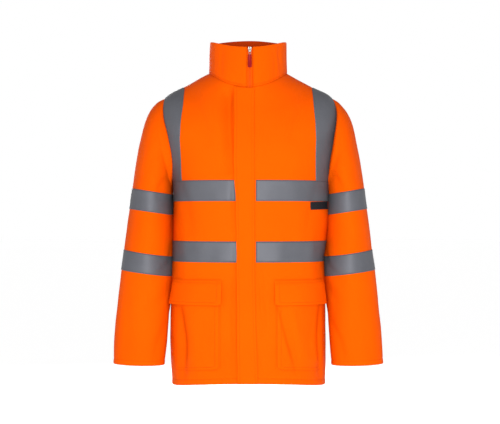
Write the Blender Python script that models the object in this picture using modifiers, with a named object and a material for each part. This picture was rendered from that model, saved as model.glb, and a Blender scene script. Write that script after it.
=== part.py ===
"""Hi-vis work jacket, worn shape with nobody in it: cut pieces as thin walls, each its own object.

The jacket stands upright with its front towards -Y and its collar up +Z. The origin is the middle of
the neck base, where a wearer's shoulders and neck hold it. Lengths are in metres.
"""

import math

import bmesh
import bpy
import numpy as np

# --- Driving dimensions ---
CLOTH = 0.0016  # wall of the coated cloth with its backing
TAPE = 0.0010  # retroreflective tape
SEAM = 0.0003  # air left between two pieces that are sewn together
SEWN_ON = 0.0013  # air under a piece that crosses the facets of the panel below it
COLLAR_WALL = 0.0030  # stand collar, two layers
FLAP_WALL = 0.0022  # storm flap and pocket flaps, folded double
ZIP_X = 0.004  # the closed zip lies just to the wearer's left of the middle
ZIP_HALF = 0.007  # half of the zip that shows between the two collar ends
NECK_END = 0.0020  # how far the storm flap stops short of the collar
SIDE = math.pi / 2  # the side line, as an angle round the body from the middle of the front

# --- Body rings, from the hem to the neck seam. Each is a rounded rectangle seen from above: its half
# width, its reach forwards and backwards, how far its front and back rise above its sides, and how
# square it is (2 is an ellipse). ---
BODY_RINGS = np.array([
    # side_z  half_w   front    back   front_rise back_rise square
    (-0.7640, 0.1880, 0.1430, 0.1400, 0.0140, 0.0020, 2.50),  # 0 hem
    (-0.7000, 0.1905, 0.1435, 0.1400, 0.0090, 0.0010, 2.50),  # 1
    (-0.5900, 0.1910, 0.1430, 0.1380, 0.0020, 0.0000, 2.50),  # 2 hip
    (-0.4620, 0.1865, 0.1410, 0.1340, 0.0000, 0.0000, 2.45),  # 3 lower edge of the waist tape
    (-0.4120, 0.1855, 0.1400, 0.1320, 0.0000, 0.0000, 2.42),  # 4 upper edge of the waist tape
    (-0.3160, 0.1845, 0.1380, 0.1300, 0.0000, 0.0000, 2.38),  # 5 lower edge of the chest tape
    (-0.2660, 0.1860, 0.1370, 0.1300, 0.0000, 0.0000, 2.35),  # 6 armpit, upper edge of the chest tape
    (-0.2150, 0.2000, 0.1340, 0.1290, -0.0080, -0.0060, 2.30),  # 7
    (-0.1550, 0.2200, 0.1300, 0.1260, -0.0240, -0.0180, 2.25),  # 8
    (-0.1030, 0.2260, 0.1255, 0.1200, -0.0420, -0.0280, 2.20),  # 9
    (-0.0600, 0.2035, 0.1200, 0.1110, -0.0540, -0.0220, 2.10),  # 10 shoulder tip
    (-0.0330, 0.1560, 0.1120, 0.0970, -0.0480, -0.0020, 2.05),  # 11 inner edge of the shoulder tape
    (0.0000, 0.0955, 0.1050, 0.0800, -0.0410, 0.0120, 2.10),  # 12 neck seam
])
HEM, HIP, WAIST_LOW, WAIST_HIGH, CHEST_LOW, ARMPIT = 0, 2, 3, 4, 5, 6
TIP, SHOULDER_MID, NECK = 10, 11, 12
ARMHOLE_FRONT = math.radians(31)  # how far the armhole cuts in from the side line
ARMHOLE_BACK = math.radians(29)

# --- Collar rings, with the same columns, from just above the neck seam to the top edge ---
COLLAR_RINGS = np.array([
    (0.0010, 0.0955, 0.1050, 0.0800, -0.0400, 0.0120, 2.10),
    (0.0250, 0.0950, 0.1040, 0.0800, -0.0340, 0.0135, 2.10),
    (0.0520, 0.0945, 0.1010, 0.0810, -0.0280, 0.0150, 2.10),
    (0.0770, 0.0935, 0.0980, 0.0830, -0.0220, 0.0160, 2.10),
])

# --- Sleeve rings from the cap to the cuff: its outer and inner edges, and its reach in front of and
# behind the side line. The first ring, the armhole itself, is worked out from the body. ---
SLEEVE_RINGS = np.array([
    # outer_x outer_z  inner_x  inner_z  front_y  back_y
    (0.2270, -0.0755, 0.1900, -0.2760, -0.0770, 0.0750),  # 1 cap
    (0.2450, -0.0985, 0.1900, -0.2830, -0.0825, 0.0800),  # 2 cap
    (0.2590, -0.1370, 0.1900, -0.2880, -0.0865, 0.0830),  # 3 cap
    (0.2740, -0.2050, 0.1900, -0.2930, -0.0880, 0.0830),  # 4
    (0.2855, -0.2840, 0.1900, -0.2990, -0.0870, 0.0780),  # 5 upper edge of the upper tape
    (0.2915, -0.3340, 0.1900, -0.3490, -0.0870, 0.0710),  # 6 lower edge of the upper tape
    (0.2985, -0.3850, 0.1902, -0.4010, -0.0880, 0.0620),  # 7
    (0.3050, -0.4340, 0.1908, -0.4510, -0.0890, 0.0530),  # 8 upper edge of the lower tape
    (0.3110, -0.4830, 0.1915, -0.4990, -0.0900, 0.0430),  # 9 lower edge of the lower tape
    (0.3190, -0.5650, 0.1945, -0.5780, -0.0910, 0.0280),  # 10
    (0.3260, -0.6400, 0.1990, -0.6480, -0.0900, 0.0160),  # 11
    (0.3295, -0.7115, 0.2050, -0.7150, -0.0880, 0.0080),  # 12 cuff
])
UPPER_TAPE, LOWER_TAPE = (5, 6), (8, 9)
ARMHOLE_AIR_TOP, ARMHOLE_AIR_BOTTOM = 0.0012, 0.0032  # the sleeve's seam outside the panels' edges

# --- Storm flap: free edge and sewn edge, as X at each height ---
STORM_FLAP = np.array([
    # z     free_x   sewn_x
    (-0.760, -0.0255, 0.0240),
    (-0.700, -0.0258, 0.0225),
    (-0.600, -0.0266, 0.0188),
    (-0.450, -0.0275, 0.0166),
    (-0.300, -0.0295, 0.0160),
    (-0.260, -0.0340, 0.0155),
    (-0.045, -0.0330, 0.0155),
])

# --- Patch pockets, on the panel: inner edge, outer edge and heights ---
POCKET_INNER_X = 0.0665
POCKET_OUTER_ANGLE = math.radians(66)
POCKET_TOP_Z, POCKET_BOTTOM_Z = -0.515, -0.717
POCKET_FULLNESS = 0.004  # how far the empty bag stands off the panel in its middle
POCKET_MOUTH = 0.97  # the bag is drawn in again at its mouth; 1 would close it onto the panel
POCKET_FLAP_INNER_X = 0.0625
POCKET_FLAP_OUTER_ANGLE = math.radians(68)
POCKET_FLAP_TOP_Z, POCKET_FLAP_BOTTOM_Z = -0.504, -0.5635
POCKET_FLAP_LIFTS = np.array([
    # how far down the flap, how far the middle of its wall stands off the middle of the panel's
    (0.0, 0.0032),
    (0.2, 0.0074),
    (0.6, 0.0096),
    (1.0, 0.0110),
])

# --- Tapes over the shoulders: their inner edge, as X at each body ring from the armpit up ---
BRACE_INNER_X = np.array([0.160, 0.161, 0.1635, 0.162, 0.158, 0.156])
BRACE_IN = 0.0020  # air to the sleeve, which turns out sharply at the armhole

# --- Small parts ---
TAPE_UNDER_FLAP_X = -0.012  # where the right front's tapes end, under the storm flap
TAPE_BESIDE_FLAP_X = 0.0190  # where the left front's tapes start, beside its sewn edge
LABEL_FROM_X, LABEL_TO_X, LABEL_TOP_Z, LABEL_HEIGHT = 0.1500, 0.1800, -0.3175, 0.0190
SLIDER_WIDTH, SLIDER_LENGTH, SLIDER_DEPTH = 0.0085, 0.0120, 0.0048
SLIDER_DROP = 0.0065  # middle of the slider below the collar's top edge
SLIDER_RING = 2.45  # the collar ring by the slider's lower end, where the collar is furthest forward
BRIDGE_WIRE, BRIDGE_HALF, BRIDGE_STEPS = 0.0011, 0.0040, 8
BRIDGE_OUT = 0.0072  # top of the bridge in front of the slider's middle
PULL_HINGE_OUT = 0.0055  # hinge axis in front of the slider's middle, inside the bridge
PULL_LINK_LENGTH, PULL_LINK_WIDTH, PULL_WIRE = 0.0120, 0.0052, 0.0011
PULL_TAG_LENGTH, PULL_TAG_WIDTH, PULL_TAG_DEPTH = 0.0310, 0.0095, 0.0032

# --- Colours ---
ORANGE = (1.0, 0.14, 0.0, 1.0)
SHADE_ORANGE = (0.75, 0.07, 0.01, 1.0)
SILVER_TAPE = (0.17, 0.18, 0.21, 1.0)
NICKEL = (0.62, 0.62, 0.63, 1.0)
RED_RUBBER = (0.40, 0.005, 0.01, 1.0)
BLACK_WEAVE = (0.01, 0.01, 0.012, 1.0)


# --- Reading the tables ---
def table_row(table, place):
    """A row of a table at a place between its rows, on a smooth curve through them."""
    last = len(table) - 1
    first = min(max(int(place), 0), last - 1)
    part = place - first
    here, there = table[first], table[first + 1]
    before = table[first - 1] if first > 0 else 2 * here - there
    after = table[first + 2] if first + 2 <= last else 2 * there - here
    bend = 2 * before - 5 * here + 4 * there - after
    twist = 3 * (here - there) + after - before
    return here + 0.5 * part * (there - before + part * (bend + part * twist))


def ring_point(rings, place, angle):
    """A point of a ringed surface. Angle 0 is the middle of the front and SIDE is the +X side."""
    side_z, half_w, front, back, front_rise, back_rise, square = table_row(rings, place)
    across, along = math.sin(angle), math.cos(angle)
    reach, rise = (front, front_rise) if along > 0 else (back, back_rise)
    x = math.copysign(half_w * abs(across) ** (2 / square), across)
    y = -math.copysign(reach * abs(along) ** (2 / square), along)
    return np.array((x, y, side_z + rise * along * along))


def angle_of_x(rings, place, x):
    """The angle, in front of the side line, at which a ring is x from the middle."""
    _, half_w, _, _, _, _, square = table_row(rings, place)
    return math.copysign(math.asin(min(abs(x) / half_w, 1.0) ** (square / 2)), x)


def place_of_z(z):
    """The place along the body rings at which the middle of the front has this height."""
    low, high = float(HEM), float(NECK)
    for _ in range(40):
        middle = (low + high) / 2
        if ring_point(BODY_RINGS, middle, 0.0)[2] < z:
            low = middle
        else:
            high = middle
    return (low + high) / 2


def armhole_cut(place, reach):
    """How far the armhole cuts in from the side line at this place, as an angle."""
    share = (place - ARMPIT) / (TIP - ARMPIT)
    return reach * math.sqrt(math.sin(math.pi * share)) if 0 < share < 1 else 0.0


# --- Grids of points ---
def outward(points, closed=False):
    """The unit normal at each point of a grid whose rows run up and whose columns run towards +X."""
    if closed:
        across = np.roll(points, -1, axis=1) - np.roll(points, 1, axis=1)
    else:
        across = np.gradient(points, axis=1)
    normals = np.cross(across, np.gradient(points, axis=0))
    return normals / np.linalg.norm(normals, axis=2, keepdims=True)


def moved_out(points, distance, closed=False):
    return points + outward(points, closed) * distance


def drawn_in(points, amount, sides="lrbt"):
    """The grid with its outer rows and columns pulled in a little, to leave air at its seams."""
    points = points.copy()
    for side, edge, inner in (("l", np.s_[:, 0], np.s_[:, 1]), ("r", np.s_[:, -1], np.s_[:, -2]),
                              ("b", np.s_[0], np.s_[1]), ("t", np.s_[-1], np.s_[-2])):
        if side in sides:
            inwards = points[inner] - points[edge]
            length = np.linalg.norm(inwards, axis=-1, keepdims=True)
            points[edge] += inwards / np.maximum(length, amount) * amount
    return points


def mirrored(points):
    """The same grid on the other side of the body, with its columns still towards +X."""
    return points[:, ::-1] * np.array((-1.0, 1.0, 1.0))


# --- Objects ---
def clear_scene():
    for obj in list(bpy.data.objects):
        bpy.data.objects.remove(obj, do_unlink=True)


def new_material(name, colour, roughness, metallic=0.0):
    material = bpy.data.materials.new(name)
    material.use_nodes = True
    shader = material.node_tree.nodes["Principled BSDF"]
    shader.inputs["Base Color"].default_value = colour
    shader.inputs["Roughness"].default_value = roughness
    shader.inputs["Metallic"].default_value = metallic
    return material


def add_object(name, bm, material, collection, origin=(0.0, 0.0, 0.0)):
    """An object from a bmesh in world coordinates, with its origin where it is asked for."""
    bmesh.ops.translate(bm, verts=bm.verts, vec=[-value for value in origin])
    mesh = bpy.data.meshes.new(name)
    bm.to_mesh(mesh)
    bm.free()
    mesh.shade_smooth()
    mesh.set_sharp_from_angle(angle=math.radians(40))
    mesh.materials.append(new_material(name, *material))
    obj = bpy.data.objects.new(name, mesh)
    obj.location = origin
    collection.objects.link(obj)
    return obj


def add_sheet(name, points, wall, material, collection, closed=False):
    """A cloth wall: a grid laid through the points, closed into a tube if asked, then solidified."""
    if closed:
        points = np.concatenate([points, points[:, :1]], axis=1)
    rows, columns = points.shape[:2]
    bm = bmesh.new()
    bmesh.ops.create_grid(bm, x_segments=columns - 1, y_segments=rows - 1, size=1.0)
    bm.verts.ensure_lookup_table()
    for vert, point in zip(bm.verts, points.reshape(-1, 3)):
        vert.co = point
    bmesh.ops.remove_doubles(bm, verts=bm.verts, dist=1e-6)
    obj = add_object(name, bm, material, collection)
    solidify = obj.modifiers.new("Wall", "SOLIDIFY")
    solidify.thickness = wall
    solidify.offset = 0.0
    solidify.use_even_offset = True
    return obj


# --- Body panels: two fronts and a back. A span gives a panel's first and last angle at a place. ---
LOWER_ROWS = (HEM, 1, HIP, WAIST_LOW, WAIST_HIGH, CHEST_LOW)
ARMHOLE_STEPS = 8
ARMHOLE_ROWS = tuple(ARMPIT + (TIP - ARMPIT) * (1 - math.cos(math.pi * step / ARMHOLE_STEPS)) / 2
                     for step in range(ARMHOLE_STEPS + 1))
SHOULDER_ROWS = (10.35, 10.65, 10.9, 11.4, NECK)
BODY_ROWS = LOWER_ROWS + ARMHOLE_ROWS + SHOULDER_ROWS
FRONT_COLUMNS, BACK_COLUMNS = 10, 18


def left_front_span(place):
    """The wearer's left front: from the zip to the side seam, the armhole and the shoulder seam."""
    return (angle_of_x(BODY_RINGS, place, ZIP_X + ZIP_HALF), SIDE - armhole_cut(place, ARMHOLE_FRONT))


def right_front_span(place):
    return (-SIDE + armhole_cut(place, ARMHOLE_FRONT), angle_of_x(BODY_RINGS, place, ZIP_X - ZIP_HALF))


def back_span(place):
    half = SIDE - armhole_cut(place, ARMHOLE_BACK)
    return (math.pi - half, math.pi + half)


def panel_grid(span, columns):
    grid = []
    for place in BODY_ROWS:
        angles = np.linspace(*span(place), columns + 1)
        grid.append([ring_point(BODY_RINGS, place, angle) for angle in angles])
    return np.array(grid)


def picked(grid, row, column):
    """What a grid holds between its points, at a row and a column counted in fractions."""
    low_row, low_column = min(int(row), grid.shape[0] - 2), min(int(column), grid.shape[1] - 2)
    up, across = row - low_row, column - low_column
    lower = grid[low_row, low_column] * (1 - across) + grid[low_row, low_column + 1] * across
    upper = grid[low_row + 1, low_column] * (1 - across) + grid[low_row + 1, low_column + 1] * across
    return lower * (1 - up) + upper * up


def laid(panel, span, patch, lift):
    """A patch, given as a grid of places and angles, on the facets of a panel and lifted off them."""
    normals = outward(panel)
    lift = np.broadcast_to(lift, patch.shape[:2])
    points = np.empty(patch.shape[:2] + (3,))
    for cell in np.ndindex(patch.shape[:2]):
        place, angle = patch[cell]
        start, end = span(place)
        row = np.interp(place, BODY_ROWS, range(len(BODY_ROWS)))
        column = (angle - start) / (end - start) * (panel.shape[1] - 1)
        points[cell] = picked(panel, row, column) + picked(normals, row, column) * lift[cell]
    return points


# --- Sleeves ---
SLEEVE_COLUMNS = 20


def armhole_point(turn):
    """The sleeve's seam at a turn: 0 at the shoulder tip, half at the armpit, front first."""
    down = turn * 2 if turn <= 0.5 else 2 - turn * 2
    share = (1 + math.cos(math.pi * down)) / 2
    place = ARMPIT + (TIP - ARMPIT) * share
    angle = SIDE - armhole_cut(place, ARMHOLE_FRONT)
    if turn > 0.5:
        angle = SIDE + armhole_cut(place, ARMHOLE_BACK)
    air = ARMHOLE_AIR_TOP + (ARMHOLE_AIR_BOTTOM - ARMHOLE_AIR_TOP) * (1 - share)
    return ring_point(BODY_RINGS, place, angle) + (air, 0.0, 0.0)


def sleeve_ring(row, turn):
    """A point of one sleeve ring: 0 is its outer edge, a quarter its front, half its inner edge."""
    outer_x, outer_z, inner_x, inner_z, front_y, back_y = row
    along = math.cos(2 * math.pi * turn)
    across = math.sin(2 * math.pi * turn)
    x = (outer_x + inner_x) / 2 + (outer_x - inner_x) / 2 * along
    z = (outer_z + inner_z) / 2 + (outer_z - inner_z) / 2 * along
    middle_y = (front_y + back_y) / 2
    y = middle_y - (back_y - front_y) / 2 * across
    return np.array((x, y, z))


def sleeve_line(turn):
    """The points of one line down the sleeve, from the armhole to the cuff."""
    return np.array([armhole_point(turn)] + [sleeve_ring(row, turn) for row in SLEEVE_RINGS])


SLEEVE_ROWS = (12, 11, 10, 9, 8, 7, 6, 5, 4.4, 3.7, 3, 2.2, 1.4, 0.7, 0)


def left_sleeve():
    """The wearer's left sleeve, rows from the cuff up and columns round it, front to outside."""
    turns = -np.arange(SLEEVE_COLUMNS) / SLEEVE_COLUMNS
    lines = [sleeve_line(turn % 1.0) for turn in turns]
    return np.array([[table_row(line, place) for line in lines] for place in SLEEVE_ROWS])


# --- Laid-on pieces ---
def storm_flap_grid():
    """The flap over the zip, sewn on the wearer's left front, free on the other side."""
    grid = []
    for place in BODY_ROWS:
        z = ring_point(BODY_RINGS, place, 0.0)[2]
        free_x = np.interp(z, STORM_FLAP[:, 0], STORM_FLAP[:, 1])
        sewn_x = np.interp(z, STORM_FLAP[:, 0], STORM_FLAP[:, 2])
        angles = [angle_of_x(BODY_RINGS, place, x) for x in np.linspace(free_x, sewn_x, 4)]
        grid.append([ring_point(BODY_RINGS, place, angle) for angle in angles])
    return np.array(grid)


def zip_grid():
    """The closed zip between the two fronts and on up between the collar's two ends."""
    grid = []
    half = ZIP_HALF - SEAM
    for rings, places in ((BODY_RINGS, BODY_ROWS[:-1]), (COLLAR_RINGS, (0, 1, 2, 3))):
        for place in places:
            angles = [angle_of_x(rings, place, x) for x in np.linspace(ZIP_X - half, ZIP_X + half, 3)]
            grid.append([ring_point(rings, place, angle) for angle in angles])
    return np.array(grid)


COLLAR_COLUMNS = 30


def collar_grid():
    """The stand collar, open at the zip, columns from the wearer's left end round the back."""
    grid = []
    for place in (0, 1, 2, 3):
        start = angle_of_x(COLLAR_RINGS, place, ZIP_X + ZIP_HALF)
        end = 2 * math.pi + angle_of_x(COLLAR_RINGS, place, ZIP_X - ZIP_HALF)
        angles = np.linspace(start, end, COLLAR_COLUMNS + 1)
        grid.append([ring_point(COLLAR_RINGS, place, angle) for angle in angles])
    return np.array(grid)


def patch(inner_x, outer_angle, heights, columns):
    """Places and angles of a patch on the wearer's left front, from an edge in X to one in angle."""
    grid = []
    for z in heights:
        place = place_of_z(z)
        start = angle_of_x(BODY_RINGS, place, inner_x)
        grid.append([(place, angle) for angle in np.linspace(start, outer_angle, columns + 1)])
    return np.array(grid)


def pocket_grid(panel):
    """A pocket bag that lies close to the panel at its edges and stands off it in its middle."""
    bag = patch(POCKET_INNER_X, POCKET_OUTER_ANGLE, np.linspace(POCKET_BOTTOM_Z, POCKET_TOP_Z, 7), 7)
    across = np.sin(np.pi * np.linspace(0, 1, bag.shape[1]))
    up = np.sin(np.pi * np.linspace(0, POCKET_MOUTH, bag.shape[0]))
    swell = POCKET_FULLNESS * np.sqrt(np.abs(np.outer(up, across)))
    return laid(panel, left_front_span, bag, CLOTH + SEWN_ON + swell)


def pocket_flap_grid(panel):
    """A pocket flap, sewn along its top, whose lower edge stands off over the bag."""
    down, lift = POCKET_FLAP_LIFTS[::-1].T
    heights = POCKET_FLAP_TOP_Z + (POCKET_FLAP_BOTTOM_Z - POCKET_FLAP_TOP_Z) * down
    flap = patch(POCKET_FLAP_INNER_X, POCKET_FLAP_OUTER_ANGLE, heights, 7)
    return laid(panel, left_front_span, flap, lift[:, None])


def tape_patch(span, columns, low, high, first_x=None, last_x=None):
    """Places and angles of a level tape: the panel's own columns, cut short at an X if one is given."""
    grid = []
    for place in (low, high):
        angles = np.linspace(*span(place), columns + 1)
        if first_x is not None:
            first = angle_of_x(BODY_RINGS, place, first_x)
            angles = np.concatenate([[first], angles[1:]])
        if last_x is not None:
            last = angle_of_x(BODY_RINGS, place, last_x)
            angles = np.concatenate([angles[:-1], [last]])
        grid.append([(place, angle) for angle in angles])
    return np.array(grid)


def brace_patch(span, columns, side, behind):
    """Places and angles of a tape over a shoulder: the panel's own columns, held between its two edges."""
    grid = []
    for place in ARMHOLE_ROWS + SHOULDER_ROWS[:3]:
        inner_x = np.interp(place, range(ARMPIT, SHOULDER_MID + 1), BRACE_INNER_X)
        inner = angle_of_x(BODY_RINGS, place, inner_x)
        cut = armhole_cut(max(place, ARMHOLE_ROWS[1]), ARMHOLE_BACK if behind else ARMHOLE_FRONT)
        edges = np.array((inner, SIDE - cut)) * side
        if behind:
            edges = math.pi - edges
        angles = np.clip(np.linspace(*span(place), columns + 1), *sorted(edges))
        grid.append([(place, angle) for angle in angles])
    return np.array(grid)


def label_patch():
    places = (place_of_z(LABEL_TOP_Z - LABEL_HEIGHT), place_of_z(LABEL_TOP_Z))
    across = np.linspace(LABEL_FROM_X, LABEL_TO_X, 5)
    return np.array([[(place, angle_of_x(BODY_RINGS, place, x)) for x in across] for place in places])


# --- Zip slider and its pull ---
def rounded_box(size, centre, bevel):
    bm = bmesh.new()
    bmesh.ops.create_cube(bm, size=1.0)
    bmesh.ops.scale(bm, vec=size, verts=bm.verts)
    bmesh.ops.bevel(bm, geom=bm.edges, offset=bevel, segments=2, profile=0.5, affect="EDGES")
    bmesh.ops.translate(bm, vec=centre, verts=bm.verts)
    return bm


def wire_mesh(name, points, radius, cyclic):
    """A round wire along the points, made a mesh with its caps welded."""
    curve = bpy.data.curves.new(name, "CURVE")
    curve.dimensions = "3D"
    curve.bevel_depth = radius
    curve.bevel_resolution = 2
    curve.use_fill_caps = True
    spline = curve.splines.new("POLY")
    spline.points.add(len(points) - 1)
    for target, point in zip(spline.points, points):
        target.co = (*point, 1.0)
    spline.use_cyclic_u = cyclic
    guide = bpy.data.objects.new(name + "_guide", curve)
    bpy.context.scene.collection.objects.link(guide)
    graph = bpy.context.evaluated_depsgraph_get()
    mesh = bpy.data.meshes.new_from_object(guide.evaluated_get(graph))
    bm = bmesh.new()
    bm.from_mesh(mesh)
    bmesh.ops.remove_doubles(bm, verts=bm.verts, dist=1e-5)
    bpy.data.objects.remove(guide)
    bpy.data.meshes.remove(mesh)
    return bm


def slider_middle():
    """The middle of the slider: on the closed zip, with its top level with the collar's top edge."""
    top_z = ring_point(COLLAR_RINGS, 3, 0.0)[2]
    zip_y = ring_point(COLLAR_RINGS, SLIDER_RING, 0.0)[1] - CLOTH / 2
    return np.array((ZIP_X, zip_y - SEAM - SLIDER_DEPTH / 2, top_z - SLIDER_DROP))


def build_zip_slider(collection):
    """The slider's rounded body on the zip, and the wire bridge on its face that holds the pull."""
    middle = slider_middle()
    bm = rounded_box((SLIDER_WIDTH, SLIDER_DEPTH, SLIDER_LENGTH), middle, 0.0011)
    add_object("zip_slider", bm, (NICKEL, 0.3, 1.0), collection)
    face = -SLIDER_DEPTH / 2 - SEAM - BRIDGE_WIRE / 2
    outline = []
    for step in range(BRIDGE_STEPS + 1):
        angle = math.pi * step / BRIDGE_STEPS
        out = (BRIDGE_OUT + face) * math.sin(angle)
        outline.append(middle + (0.0, face - out, BRIDGE_HALF * math.cos(angle)))
    bridge = wire_mesh("zip_slider_bridge", outline, BRIDGE_WIRE / 2, False)
    add_object("zip_slider_bridge", bridge, (NICKEL, 0.3, 1.0), collection)


def build_zip_pull(collection):
    """The wire link through the slider's bridge and the moulded rubber tag that hangs from it."""
    hinge = slider_middle() + (0.0, -PULL_HINGE_OUT, 0.0)
    half, bend = PULL_LINK_WIDTH / 2, 8
    outline = []
    for centre_z, start in ((-half, 0.0), (half - PULL_LINK_LENGTH, math.pi)):
        for step in range(bend + 1):
            angle = start + math.pi * step / bend
            outline.append(hinge + (half * math.cos(angle), 0.0, centre_z + half * math.sin(angle)))
    link = wire_mesh("zip_pull_link", outline, PULL_WIRE / 2, True)
    add_object("zip_pull_link", link, (NICKEL, 0.3, 1.0), collection, tuple(hinge))
    tag_z = -PULL_LINK_LENGTH - PULL_WIRE / 2 - SEAM - PULL_TAG_LENGTH / 2
    tag = rounded_box((PULL_TAG_WIDTH, PULL_TAG_DEPTH, PULL_TAG_LENGTH), hinge + (0.0, 0.0, tag_z), 0.0013)
    add_object("zip_pull_tag", tag, (RED_RUBBER, 0.45), collection, tuple(hinge))


# --- The jacket ---
def build_jacket():
    clear_scene()
    jacket = bpy.data.collections.new("hi_vis_work_jacket")
    bpy.context.scene.collection.children.link(jacket)
    cloth = (ORANGE, 0.55)
    tape = (SILVER_TAPE, 0.35)

    front_left = panel_grid(left_front_span, FRONT_COLUMNS)
    front_right = panel_grid(right_front_span, FRONT_COLUMNS)
    back = panel_grid(back_span, BACK_COLUMNS)
    for name, panel in (("front_left", front_left), ("front_right", front_right), ("back", back)):
        add_sheet(name, drawn_in(panel, SEAM), CLOTH, cloth, jacket)

    sleeve = left_sleeve()
    for side, points in (("left", sleeve), ("right", mirrored(sleeve))):
        add_sheet("sleeve_" + side, points, CLOTH, cloth, jacket, closed=True)
        lifted = moved_out(points, CLOTH / 2 + SEAM + TAPE / 2, closed=True)
        for level, (top, bottom) in (("upper", UPPER_TAPE), ("lower", LOWER_TAPE)):
            rows = [SLEEVE_ROWS.index(bottom), SLEEVE_ROWS.index(top)]
            add_sheet("sleeve_tape_" + level + "_" + side, lifted[rows], TAPE, tape, jacket, closed=True)

    add_sheet("collar", collar_grid(), COLLAR_WALL, cloth, jacket)
    add_sheet("zip_chain", drawn_in(zip_grid(), SEAM, "b"), CLOTH, (SHADE_ORANGE, 0.6), jacket)

    flap = moved_out(storm_flap_grid(), CLOTH / 2 + SEAM + TAPE + SEWN_ON + FLAP_WALL / 2)
    add_sheet("storm_flap", drawn_in(flap, NECK_END, "t"), FLAP_WALL, cloth, jacket)

    on_cloth = CLOTH / 2 + SEAM + TAPE / 2
    for level, low, high in (("chest", CHEST_LOW, ARMPIT), ("waist", WAIST_LOW, WAIST_HIGH)):
        for name, panel, span, columns, first_x, last_x in (
                ("front_left", front_left, left_front_span, FRONT_COLUMNS, TAPE_BESIDE_FLAP_X, None),
                ("front_right", front_right, right_front_span, FRONT_COLUMNS, None, TAPE_UNDER_FLAP_X),
                ("back", back, back_span, BACK_COLUMNS, None, None)):
            band = laid(panel, span, tape_patch(span, columns, low, high, first_x, last_x), on_cloth)
            add_sheet(level + "_tape_" + name, drawn_in(band, SEAM, "lrt"), TAPE, tape, jacket)

    crossing = CLOTH / 2 + SEWN_ON + TAPE / 2
    for name, panel, span, columns, side, behind, outer_edge in (
            ("front_left", front_left, left_front_span, FRONT_COLUMNS, 1, False, "r"),
            ("front_right", front_right, right_front_span, FRONT_COLUMNS, -1, False, "l"),
            ("back_left", back, back_span, BACK_COLUMNS, 1, True, "l"),
            ("back_right", back, back_span, BACK_COLUMNS, -1, True, "r")):
        brace = laid(panel, span, brace_patch(span, columns, side, behind), crossing)
        brace = drawn_in(drawn_in(brace, BRACE_IN, outer_edge), SEAM, "b")
        add_sheet("shoulder_tape_" + name, brace, TAPE, tape, jacket)

    pocket, pocket_flap = pocket_grid(front_left), pocket_flap_grid(front_left)
    for side, bag, flap in (("left", pocket, pocket_flap),
                            ("right", mirrored(pocket), mirrored(pocket_flap))):
        add_sheet("pocket_" + side, bag, CLOTH, cloth, jacket)
        add_sheet("pocket_flap_" + side, flap, FLAP_WALL, cloth, jacket)

    label = laid(front_left, left_front_span, label_patch(), crossing)
    add_sheet("label", label, TAPE, (BLACK_WEAVE, 0.7), jacket)

    build_zip_slider(jacket)
    build_zip_pull(jacket)


build_jacket()
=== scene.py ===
"""Hi-vis work jacket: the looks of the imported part, made round it in its own frame, in metres.

The front faces -Y and the collar stands up +Z. On the body a place counts the rings from the hem (0) to
the neck seam (12), and an angle runs round it from the middle of the front (0) towards +X, which is the
wearer's left. Each piece is cut, shaped, coloured and fixed in its own section.
"""

import math

import bmesh
import bpy
import numpy as np
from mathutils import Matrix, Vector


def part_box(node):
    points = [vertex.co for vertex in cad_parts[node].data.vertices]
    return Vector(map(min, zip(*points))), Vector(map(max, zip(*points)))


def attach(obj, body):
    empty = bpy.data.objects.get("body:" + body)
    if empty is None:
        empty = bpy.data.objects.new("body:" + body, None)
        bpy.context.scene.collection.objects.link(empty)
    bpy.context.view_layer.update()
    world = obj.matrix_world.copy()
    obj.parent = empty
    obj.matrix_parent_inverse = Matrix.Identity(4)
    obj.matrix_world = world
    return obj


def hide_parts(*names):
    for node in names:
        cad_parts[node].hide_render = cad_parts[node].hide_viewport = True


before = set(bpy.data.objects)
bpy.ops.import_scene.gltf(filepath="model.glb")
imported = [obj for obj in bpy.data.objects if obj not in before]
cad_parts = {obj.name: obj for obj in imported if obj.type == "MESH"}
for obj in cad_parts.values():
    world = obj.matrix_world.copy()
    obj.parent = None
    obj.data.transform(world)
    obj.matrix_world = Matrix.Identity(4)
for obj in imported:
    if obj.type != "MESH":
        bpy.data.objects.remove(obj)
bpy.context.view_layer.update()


# --- Studio ---------------------------------------------------------------------------------------
# A plain white room: a wide pale floor below the jacket, even light from all round, and one large soft
# lamp in front of it and one behind. The camera stands level with the waist, straight in front.
CAMERA_PLACE = (0.0045, -3.2, -0.342)
CAMERA_LENS = 92.9  # on a 36 mm wide sensor
FLOOR_Z = -1.05
FLOOR_HALF = 30.0
ROOM_LIGHT = 1.0
CEILING_SHADE = 0.55  # the room is darker overhead than at its walls
FLOOR_GLOW = 0.40
LAMPS = (
    # name, place, aimed at, side length, power
    ("front_lamp", (0.06, -1.60, -0.36), (0.0, 0.0, -0.38), 0.8, 28.0),
    ("back_lamp", (-0.50, 2.60, 0.20), (0.0, 0.0, -0.35), 1.2, 46.0),
)

view = bpy.context.scene.view_settings
view.view_transform = "Standard"
view.look = "None"

camera_data = bpy.data.cameras.new("camera")
camera_data.lens = CAMERA_LENS
camera_data.sensor_width = 36.0
camera_data.clip_end = 100.0
camera = bpy.data.objects.new("camera", camera_data)
camera.location = CAMERA_PLACE
camera.rotation_euler = (math.radians(90), 0.0, 0.0)
bpy.context.scene.collection.objects.link(camera)
bpy.context.scene.camera = camera

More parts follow.
